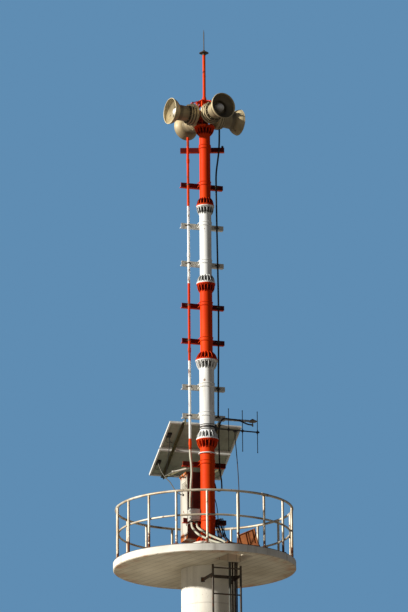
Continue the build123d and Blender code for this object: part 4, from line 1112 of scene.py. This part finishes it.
def cabinetFittings(look):
    midSide = (look["left"] + look["right"]) / 2
    midBack = (look["front"] + look["back"]) / 2
    middle = (look["bottom"] + look["top"]) / 2
    wide = look["right"] - look["left"]
    deep = look["back"] - look["front"]
    tall = look["top"] - look["bottom"]
    trim = Shape()
    for side in (look["left"], look["right"]):
        for z in (look["bottom"] + look["edgeInset"], look["top"] - look["edgeInset"]):
            trim.box(behind(side, midBack, z), (0.006, deep - 0.01, look["edge"]), barTurn)
        for back in (look["front"] + look["edgeInset"], look["back"] - look["edgeInset"]):
            trim.box(behind(side, back, middle), (0.006, look["edge"], tall - 0.01), barTurn)
    rim = look["lip"]
    for side in (look["left"] - rim, look["right"] + rim):
        trim.box(behind(side, midBack, look["top"] + 0.002), (0.003, deep + rim, look["lipHeight"]), barTurn)
    for back in (look["front"] - 0.001, look["back"] + rim):
        spot = behind(midSide, back, look["top"] + 0.002)
        trim.box(spot, (wide + 2 * rim, 0.003, look["lipHeight"]), barTurn)
    for k in range(look["slats"]):
        for side, hand in ((look["left"], -1), (look["right"], 1)):
            z = look["top"] - look["slatTop"] - look["slatPitch"] * k
            tilt = barTurn @ Matrix.Rotation(math.radians(hand * look["slatTilt"]), 3, "Y")
            trim.box(behind(side + hand * 0.003, midBack, z), (0.014, deep * 0.55, 0.003), tilt)
    door = look["back"] + 0.008
    for z in look["hinges"]:
        foot = behind(look["left"] + 0.02, door + 0.004, z - 0.03)
        trim.lathe([(0, 0), (0, 0.008), (0.06, 0.008), (0.06, 0)], foot, up, 12)
    # the handle's plate, its lever and the lever's hub
    level = look["handle"]
    trim.box(behind(look["right"] - 0.06, door + 0.006, level), (0.03, 0.012, 0.12), barTurn)
    trim.box(behind(look["right"] - 0.075, door + 0.022, level + 0.02), (0.075, 0.010, 0.018), barTurn)
    trim.box(behind(look["right"] - 0.06, door + 0.014, level + 0.02), (0.018, 0.024, 0.018), barTurn)
    for z in look["catches"]:
        back = look["front"] + 0.05
        trim.box(behind(look["left"] - 0.006, back, z), (0.012, 0.03, 0.055), barTurn)
        trim.box(behind(look["left"] - 0.012, back, z + 0.01), (0.010, 0.014, 0.036), barTurn)
    trim.piece("cabinetTrim", "cabinet")
    nuts = []
    for side in look["uprights"]:
        for level in bars["heights"][:2]:
            for lift in (-look["boltRise"], look["boltRise"]):
                nuts.append((behind(side, bars["front"], level + lift), facing(barFront)))
    repeated("uprightBolts", hexNut(), nuts, "dark", look["nut"])
    glands = [(behind(look[side], back, z), facing(barSide if side == "right" else -barSide))
              for side, back, z in look["sideGlands"]]
    side, z = look["frontGland"]
    glands.append((behind(side, look["front"], z), facing(barFront)))
    repeated("cabinetGlands", cableGland(), glands, "black", look["gland"])


junction = {"side": -0.212, "width": 0.175, "front": -0.002, "bottom": 0.805, "top": 0.995,
            "lid": 0.182, "panel": 0.156, "hinge": 0.055, "tab": 0.055, "screws": (0.077, 0.083)}


def junctionFittings(look):
    middle = (look["bottom"] + look["top"]) / 2
    side, front, width = look["side"], look["front"], look["width"]
    cover = Shape()
    cover.box(behind(side, front - 0.004, middle), (width - 0.008, 0.012, look["lid"]), barTurn)
    cover.box(behind(side, front - 0.011, middle), (width - 0.034, 0.004, look["panel"]), barTurn)
    for z in (middle - look["hinge"], middle + look["hinge"]):
        cover.box(behind(side - width / 2 - 0.004, front + 0.01, z), (0.010, 0.03, 0.026), barTurn)
    for x in (-look["tab"], look["tab"]):
        cover.box(behind(side + x, 0.131, look["top"] + 0.008), (0.03, 0.006, 0.05), barTurn)
        cover.box(behind(side + x, 0.131, look["bottom"] - 0.008), (0.03, 0.006, 0.05), barTurn)
    cover.piece("junctionCover", "box")
    dome = Shape()
    dome.lathe([(-0.001, 0), (-0.001, 0.0055), (0.003, 0.0045), (0.004, 0)], Vector(), up, 10)
    out, rise = look["screws"]
    screws = [(behind(side + x, front - 0.010, middle + z), facing(barFront))
              for x in (-out, out) for z in (-rise, rise)]
    repeated("junctionScrews", dome, screws, "dark")


cabinetFittings(cabinet)
junctionFittings(junction)
print("hatch, cabinet and junction box fitted")

panels = {**panelLook, "rails": [-0.313, 0.257], "nutRows": (0.10, 0.50, 0.76, 1.16),
          "boxSide": -0.535, "boxDepth": 0.022, "backing": 0.027, "boxScrews": (0.025, 0.038),
          "leadSide": 0.018, "leadFoot": (-0.318, 1.20, 1.850), "pipeFoot": (-0.262, 0.150, 1.690),
          "pipeEnd": (-0.560, 0.100, 16.640), "pipe": 0.014, "strutFoot": (0.168, 1.705),
          "strut": (0.005, 0.018), "stayFoot": (0.560, 1.652), "stay": 0.005, "nut": 0.5,
          "lead": 0.0035, "longLead": 0.005}


def panelSpot(look, side, down, rise):
    # sideways from the panels' middle, down the slope, and up from their underside
    tilt = math.radians(look["tilt"])
    back = look["out"] + down * math.cos(tilt) + rise * math.sin(tilt)
    return behind(look["side"] + side, back, look["top"] - down * math.sin(tilt) + rise * math.cos(tilt))


def panelFittings(look):
    slope = panelSpot(look, 0, 1, 0) - panelSpot(look, 0, 0, 0)
    normal = panelSpot(look, 0, 0, 1) - panelSpot(look, 0, 0, 0)
    turn = Matrix((barSide, slope, normal)).transposed()
    total = 2 * look["width"] + look["gap"]
    clamps, nuts = Shape(), []
    for side in look["rails"]:
        x = side - look["side"]
        beside = x + 0.012 * (1 if x > 0 else -1)
        for down in (-0.008, look["width"] + look["gap"] / 2, total + 0.008):
            clamps.box(panelSpot(look, x, down, 0.018), (0.04, 0.014, 0.04), turn)
            clamps.box(panelSpot(look, x, down, 0.0375), (0.04, 0.05, 0.004), turn)
            nuts.append((panelSpot(look, x, down, 0.0395), facing(normal)))
        for down in look["nutRows"]:
            nuts.append((panelSpot(look, beside, down, -0.004), facing(-normal)))
    clamps.piece("panelClamps", "frame")
    repeated("panelNuts", hexNut(), nuts, "dark", look["nut"])
    boxes, leads, screws = Shape(), Shape(), []
    boxSide = look["boxSide"]
    underside = look["backing"] - look["boxDepth"]
    out, rise = look["boxScrews"]
    for down in (look["width"] / 2, look["width"] * 1.5 + look["gap"]):
        boxes.box(panelSpot(look, boxSide, down, underside - 0.002), (0.068, 0.092, 0.006), turn)
        boxes.box(panelSpot(look, boxSide, down, underside - 0.006), (0.044, 0.058, 0.004), turn)
        for x in (-out, out):
            for y in (-rise, rise):
                spot = panelSpot(look, boxSide + x, down + y, underside - 0.005)
                screws.append((spot, facing(-normal)))
        for x in (-look["leadSide"], look["leadSide"]):
            start = panelSpot(look, boxSide + x, down + 0.040, underside + 0.010)
            route = [start, start + slope * 0.03, start + slope * 0.07 - normal * 0.03 + barSide * x,
                     start + slope * 0.12 - normal * 0.02 + barSide * (0.05 + x),
                     panelSpot(look, boxSide + 0.10 + x, down + 0.165, 0.004)]
            leads.sweep(softPath(route, 0.012), look["lead"], 8)
    upper = panelSpot(look, boxSide + 0.02, look["width"] / 2 + 0.04, 0)
    foot = behind(*look["leadFoot"])
    hang = [upper, upper - up * 0.08, (upper + foot) / 2 - up * 0.10, foot + up * 0.02, foot]
    leads.sweep(softPath(hang, 0.015), look["longLead"], 8)
    boxes.piece("terminalLids", "black")
    leads.piece("panelLeads", "black")
    dome = Shape()
    dome.lathe([(-0.001, 0), (-0.001, 0.004), (0.002, 0.003), (0.003, 0)], Vector(), up, 8)
    repeated("terminalScrews", dome, screws, "dark")
    braces, pipe = Shape(), Shape()
    pipeFoot, pipeEnd = behind(*look["pipeFoot"]), Vector(look["pipeEnd"])
    pipe.sweep([pipeFoot, pipeEnd], look["pipe"], 14)
    pipe.lathe([(-0.01, 0), (-0.01, 0.020), (0.02, 0.020), (0.02, 0)], pipeEnd, pipeFoot - pipeEnd, 14)
    for side in look["rails"]:
        foot = panelSpot(look, side - look["side"], total - 0.02, -0.018)
        start = pipeEnd if side < 0 else behind(side, *look["strutFoot"])
        run = foot - start
        heading = run.normalized()
        flat = Matrix((heading, barSide, heading.cross(barSide))).transposed()
        braces.box((start + foot) / 2, (run.length, *look["strut"]), flat)
        braces.sweep([foot, behind(side * 0.7, *look["stayFoot"])], look["stay"], 8)
    braces.piece("rackStruts", "lead")
    pipe.piece("rackPipe", "strut")


antenna = {"yaw": 22, "height": 17.338, "places": [0.370, 0.610, 0.870], "lengths": [0.700, 0.680, 0.686],
           "end": 0.900, "mastTube": 0.118, "grip": 0.128, "gripRise": 0.036, "balun": 0.479,
           "hubSize": (0.030, 0.032, 0.034), "rootSize": (0.026, 0.070, 0.110),
           "balunSize": (0.05, 0.028, 0.022)}


def antennaFittings(look):
    turn = Matrix.Rotation(math.radians(look["yaw"]), 3, "Z")
    boom = turn @ Vector((1, 0, 0))
    shape = Shape()
    for place, length in zip(look["places"], look["lengths"]):
        middle = boom * place + Vector((0, 0, look["height"]))
        shape.box(middle, look["hubSize"], turn)
        for end in (-1, 1):
            shape.lathe([(0.017, 0), (0.017, 0.009), (0.040, 0.0075), (0.040, 0)], middle, up * end, 10)
            tip = middle + up * (end * length / 2)
            shape.lathe([(-0.014, 0), (-0.014, 0.008), (-0.002, 0.008), (0.002, 0.004), (0.002, 0)],
                        tip, up * end, 10)
    tip = boom * look["end"] + Vector((0, 0, look["height"]))
    shape.lathe([(-0.02, 0), (-0.02, 0.0135), (0.0, 0.0135), (0.004, 0.008), (0.004, 0)], tip, boom, 14)
    root = boom * (look["mastTube"] + 0.02) + Vector((0, 0, look["height"]))
    shape.box(root, look["rootSize"], turn)
    shape.lathe([(0.010, 0), (0.010, 0.017), (0.075, 0.017), (0.08, 0.013), (0.08, 0)], root, boom, 14)
    for lift in (-look["gripRise"], look["gripRise"]):
        path = [(0.14, -look["grip"])] + circle(16, look["grip"], 270, 90) + [(0.14, look["grip"])]
        ring = [Vector((0, 0, look["height"] + lift)) + turn @ Vector((x, y, 0)) for x, y in path]
        shape.sweep(ring, 0.005, 8)
    balun = boom * look["balun"] + Vector((0, 0, look["height"] - 0.02))
    shape.box(balun, look["balunSize"], turn)
    shape.piece("antennaClamps", "antenna")


sensor = {"head": 0.819, "back": 0.1543, "level": 2.5388, "arm": 0.019, "rim": 0.070,
          "ties": [(0.44, 0.0022), (0.52, 0.0022), (0.60, 0.0022), (0.70, 0.0022), (0.20, 0.004),
                   (0.31, 0.004)]}


def sensorFittings(look):
    shape = Shape()
    middle = behind(look["head"], look["back"], look["level"])
    shape.hoop(middle + up * 0.001, up, look["rim"] - 0.0015, 0.004, 32, 8)
    shape.hoop(middle + up * 0.012, up, 0.043, 0.003, 28, 6)
    shape.lathe([(0.030, 0), (0.030, 0.018), (0.036, 0.016), (0.041, 0.009), (0.042, 0)], middle, up, 20)
    shape.lathe([(-0.086, 0), (-0.086, 0.011), (-0.070, 0.013), (-0.050, 0.013), (-0.048, 0)], middle, up, 12)
    shape.piece("sensorRings", "sensor")
    ties = Shape()
    for side, wire in look["ties"]:
        ties.hoop(behind(side, look["back"], look["level"]), barSide, look["arm"] + 0.001, wire, 20, 6)
    ties.piece("armTies", "black")


panelFittings(panels)
antennaFittings(antenna)
sensorFittings(sensor)
print("panels, antenna and sensor fitted")

horns = {"azimuths": [29, 119, 209, -61], "centre": 22.588, "mouth": 0.646, "mouthRadius": 0.214,
         "lugs": 8, "lugParts": [(0.262, 0.172, (0.052, 0.022, 0.010)),
                                 (0.240, 0.178, (0.014, 0.026, 0.008))],
         "ring": 0.324, "bolts": 12, "boltCircle": 0.140, "top": 22.840, "plateFace": 0.101,
         "plateBolt": 0.066, "strapPivot": 0.215, "strapTop": 0.215, "strapFoot": (0.096, 0.014),
         "nut": 0.6, "plateNut": 0.7, "strapNut": 0.62,
         "hoops": [(0.500, 0.1315, 0.0035), (0.345, 0.1255, 0.0045)],
         "plug": [(0.452, 0), (0.452, 0.071), (0.522, 0.071), (0.546, 0.064), (0.563, 0.049),
                  (0.573, 0.028), (0.577, 0)]}


def hornFittings(look):
    rolls, lugs, nuts, plateNuts, pivots = Shape(), Shape(), [], [], []
    for azimuth in look["azimuths"]:
        out = outward(azimuth, 1)
        side = outward(azimuth + 90, 1)
        centre = Vector((0, 0, look["centre"]))
        rolls.hoop(centre + out * (look["mouth"] - 0.005), out, look["mouthRadius"] - 0.004, 0.0065, 48, 8)
        for reach, radius, wire in look["hoops"]:
            rolls.hoop(centre + out * reach, out, radius, wire, 40, 6)
        rolls.lathe(look["plug"], centre, out, 28)
        for k in range(look["lugs"]):
            angle = math.radians(360 * (k + 0.5) / look["lugs"])
            away = side * math.cos(angle) + up * math.sin(angle)
            turn = Matrix((out, away.cross(out) * -1, away)).transposed()
            for reach, radius, size in look["lugParts"]:
                lugs.box(centre + out * reach + away * radius, size, turn)
        for k in range(look["bolts"]):
            angle = math.radians(360 * k / look["bolts"])
            away = side * math.cos(angle) + up * math.sin(angle)
            nuts.append((centre + out * look["ring"] + away * look["boltCircle"], facing(out)))
        for x in (-look["plateBolt"], look["plateBolt"]):
            for z in (-look["plateBolt"], look["plateBolt"]):
                plateNuts.append((centre + out * look["plateFace"] + side * x + up * z, facing(out)))
        pivots.append((centre + out * look["strapPivot"] + up * look["strapTop"], facing(up)))
        footOut, footSide = look["strapFoot"]
        for x in (-footSide, footSide):
            pivots.append((Vector((0, 0, look["top"])) + out * footOut + side * x, facing(up)))
    rolls.piece("hornRims", "horn")
    lugs.piece("driverLugs", "horn")
    repeated("driverBolts", hexNut(), nuts, "horn", look["nut"])
    repeated("facePlateBolts", hexNut(), plateNuts, "red", look["plateNut"])
    repeated("strapBolts", hexNut(), pivots, "dark", look["strapNut"])


pole = {"foot": 22.840, "top": 23.690, "radius": 0.024, "ringRise": 0.45, "boltCircle": 0.0405,
        "nut": 0.42, "cap": 0.076, "capTop": 23.734}


def poleFittings(look):
    shape = Shape()
    foot = Vector((0, 0, look["foot"]))
    shape.lathe([(0, 0), (0, 0.050), (0.008, 0.050), (0.012, 0.033), (0.075, 0.033), (0.080, 0.029),
                 (0.080, 0)], foot, up, 24)
    shape.hoop(foot + up * look["ringRise"], up, look["radius"] + 0.001, 0.004, 24, 8)
    shape.piece("poleSocket", "red")
    nuts = [(foot + outward(45 + 90 * k, look["boltCircle"], 0.008), facing(up)) for k in range(4)]
    repeated("socketNuts", hexNut(), nuts, "dark", look["nut"])
    cap = Shape()
    top = Vector((0, 0, look["top"]))
    cap.hoop(top + up * 0.003, up, look["cap"] - 0.001, 0.004, 32, 6)
    cap.lathe([(-0.035, 0), (-0.035, 0.028), (-0.001, 0.030), (-0.001, 0)], top, up, 20)
    nut = Vector((0, 0, look["capTop"] - 0.002))
    cap.lathe([(0, 0), (0, 0.016), (0.014, 0.016), (0.014, 0)], nut, up, 6)
    cap.piece("capFittings", "dark")


# a trunk ends in the slot and its last places are given from there; a strand ends on the crossbar again
tangle = {"slot": (0.703, 0.172, 15.150), "strand": 0.0065, "clips": (0.130, 0.150, 0.176, 0.205),
          "trunks": [{"radius": 0.009, "start": [(0.150, 0.110, 0.870), (0.155, 0.075, 0.780)],
                      "spots": [(0.170, 0.000, 0.690), (0.190, -0.090, 0.590), (0.235, -0.210, 0.500),
                                (0.300, -0.350, 0.410), (0.360, -0.480, 0.330)],
                      "end": [(-0.030, 0.050, 0.120), (0, 0, 0.070), (0, 0, 0)]},
                     {"radius": 0.010, "start": [(0.190, 0.110, 0.870), (0.192, 0.075, 0.770)],
                      "spots": [(0.205, -0.030, 0.620), (0.200, -0.070, 0.460), (0.235, -0.100, 0.300),
                                (0.270, -0.170, 0.185), (0.330, -0.330, 0.146), (0.390, -0.470, 0.150)],
                      "end": [(-0.020, 0.030, 0.030), (0.004, 0.004, -0.040)]}],
          "strands": [{"start": [(0.130, 0.112, 0.865), (0.128, 0.080, 0.780)],
                       "spots": [(0.135, -0.050, 0.680), (0.150, -0.120, 0.560), (0.185, -0.150, 0.470),
                                 (0.230, -0.110, 0.450), (0.235, -0.040, 0.460), (0.185, 0.000, 0.500),
                                 (0.150, 0.010, 0.640)],
                       "end": [(0.172, 0.090, 0.780), (0.176, 0.112, 0.865)]},
                      {"start": [(0.142, 0.112, 0.870), (0.142, 0.085, 0.770)],
                       "spots": [(0.160, -0.080, 0.620), (0.215, -0.130, 0.520), (0.230, -0.060, 0.540),
                                 (0.200, 0.020, 0.640)],
                       "end": [(0.205, 0.080, 0.780), (0.205, 0.112, 0.865)]},
                      {"start": [(0.165, 0.112, 0.865), (0.165, 0.080, 0.790)],
                       "spots": [(0.175, -0.040, 0.660), (0.190, -0.090, 0.450), (0.240, -0.130, 0.300),
                                 (0.310, -0.150, 0.360), (0.290, -0.080, 0.520), (0.250, 0.020, 0.660)],
                       "end": [(0.215, 0.080, 0.790), (0.215, 0.112, 0.865)]},
                      {"start": [(0.140, 0.112, 0.865), (0.140, 0.080, 0.790)],
                       "spots": [(0.145, 0.000, 0.700), (0.165, -0.050, 0.420), (0.200, -0.100, 0.250),
                                 (0.270, -0.120, 0.220), (0.300, -0.070, 0.360), (0.260, 0.020, 0.560)],
                       "end": [(0.220, 0.080, 0.790), (0.220, 0.112, 0.865)]},
                      {"start": [(0.155, 0.112, 0.865), (0.155, 0.080, 0.790)],
                       "spots": [(0.165, -0.030, 0.600), (0.180, -0.110, 0.380), (0.210, -0.130, 0.200),
                                 (0.250, -0.100, 0.170), (0.240, -0.040, 0.330), (0.215, 0.030, 0.560)],
                       "end": [(0.198, 0.080, 0.790), (0.198, 0.112, 0.865)]}],
          "drop": [(0.146, 0.206, 1.330), (0.160, 0.120, 1.200), (0.190, 0.100, 1.060),
                   (0.205, 0.112, 0.870)]}


def looseCables(look):
    # the black cables that hang from the lowest crossbar; the two thick ones go on to the slot
    shape = Shape()
    slot = across(hoses["slotAzimuth"], *look["slot"])
    for trunk in look["trunks"]:
        route = [behind(*spot) for spot in trunk["start"]] + [raised(spot) for spot in trunk["spots"]]
        route += [slot + Vector(spot) for spot in trunk["end"]]
        shape.sweep(softPath(route, 0.012), trunk["radius"], 12)
    for strand in look["strands"]:
        route = [behind(*spot) for spot in strand["start"]] + [raised(spot) for spot in strand["spots"]]
        route += [behind(*spot) for spot in strand["end"]]
        shape.sweep(softPath(route, 0.010), look["strand"], 8)
    shape.sweep(softPath([behind(*spot) for spot in look["drop"]], 0.012), look["strand"], 8)
    for side in look["clips"]:
        shape.box(behind(side, 0.121, 0.855), (0.012, 0.018, 0.012), barTurn)
    shape.piece("looseCables", "cable")


hornFittings(horns)
poleFittings(pole)
looseCables(tangle)
print("horns, pole and loose cables fitted")


def layFloor(look):
    half = look["side"] / 2
    mesh = bpy.data.meshes.new("paleFloor")
    corners = [(-half, -half, 0), (half, -half, 0), (half, half, 0), (-half, half, 0)]
    mesh.from_pydata(corners, [], [(0, 1, 2, 3)])
    ground = addObject("paleFloor", mesh)
    finish = Finish("paleFloor")
    patch = finish.noise(0.15, 3)
    tone = look["colour"] + (1.0,)
    worn = tuple(v * 0.94 for v in look["colour"]) + (1.0,)
    mesh.materials.append(finish.shade(finish.mix(patch, tone, worn), look["roughness"]))


layFloor(floorLook)
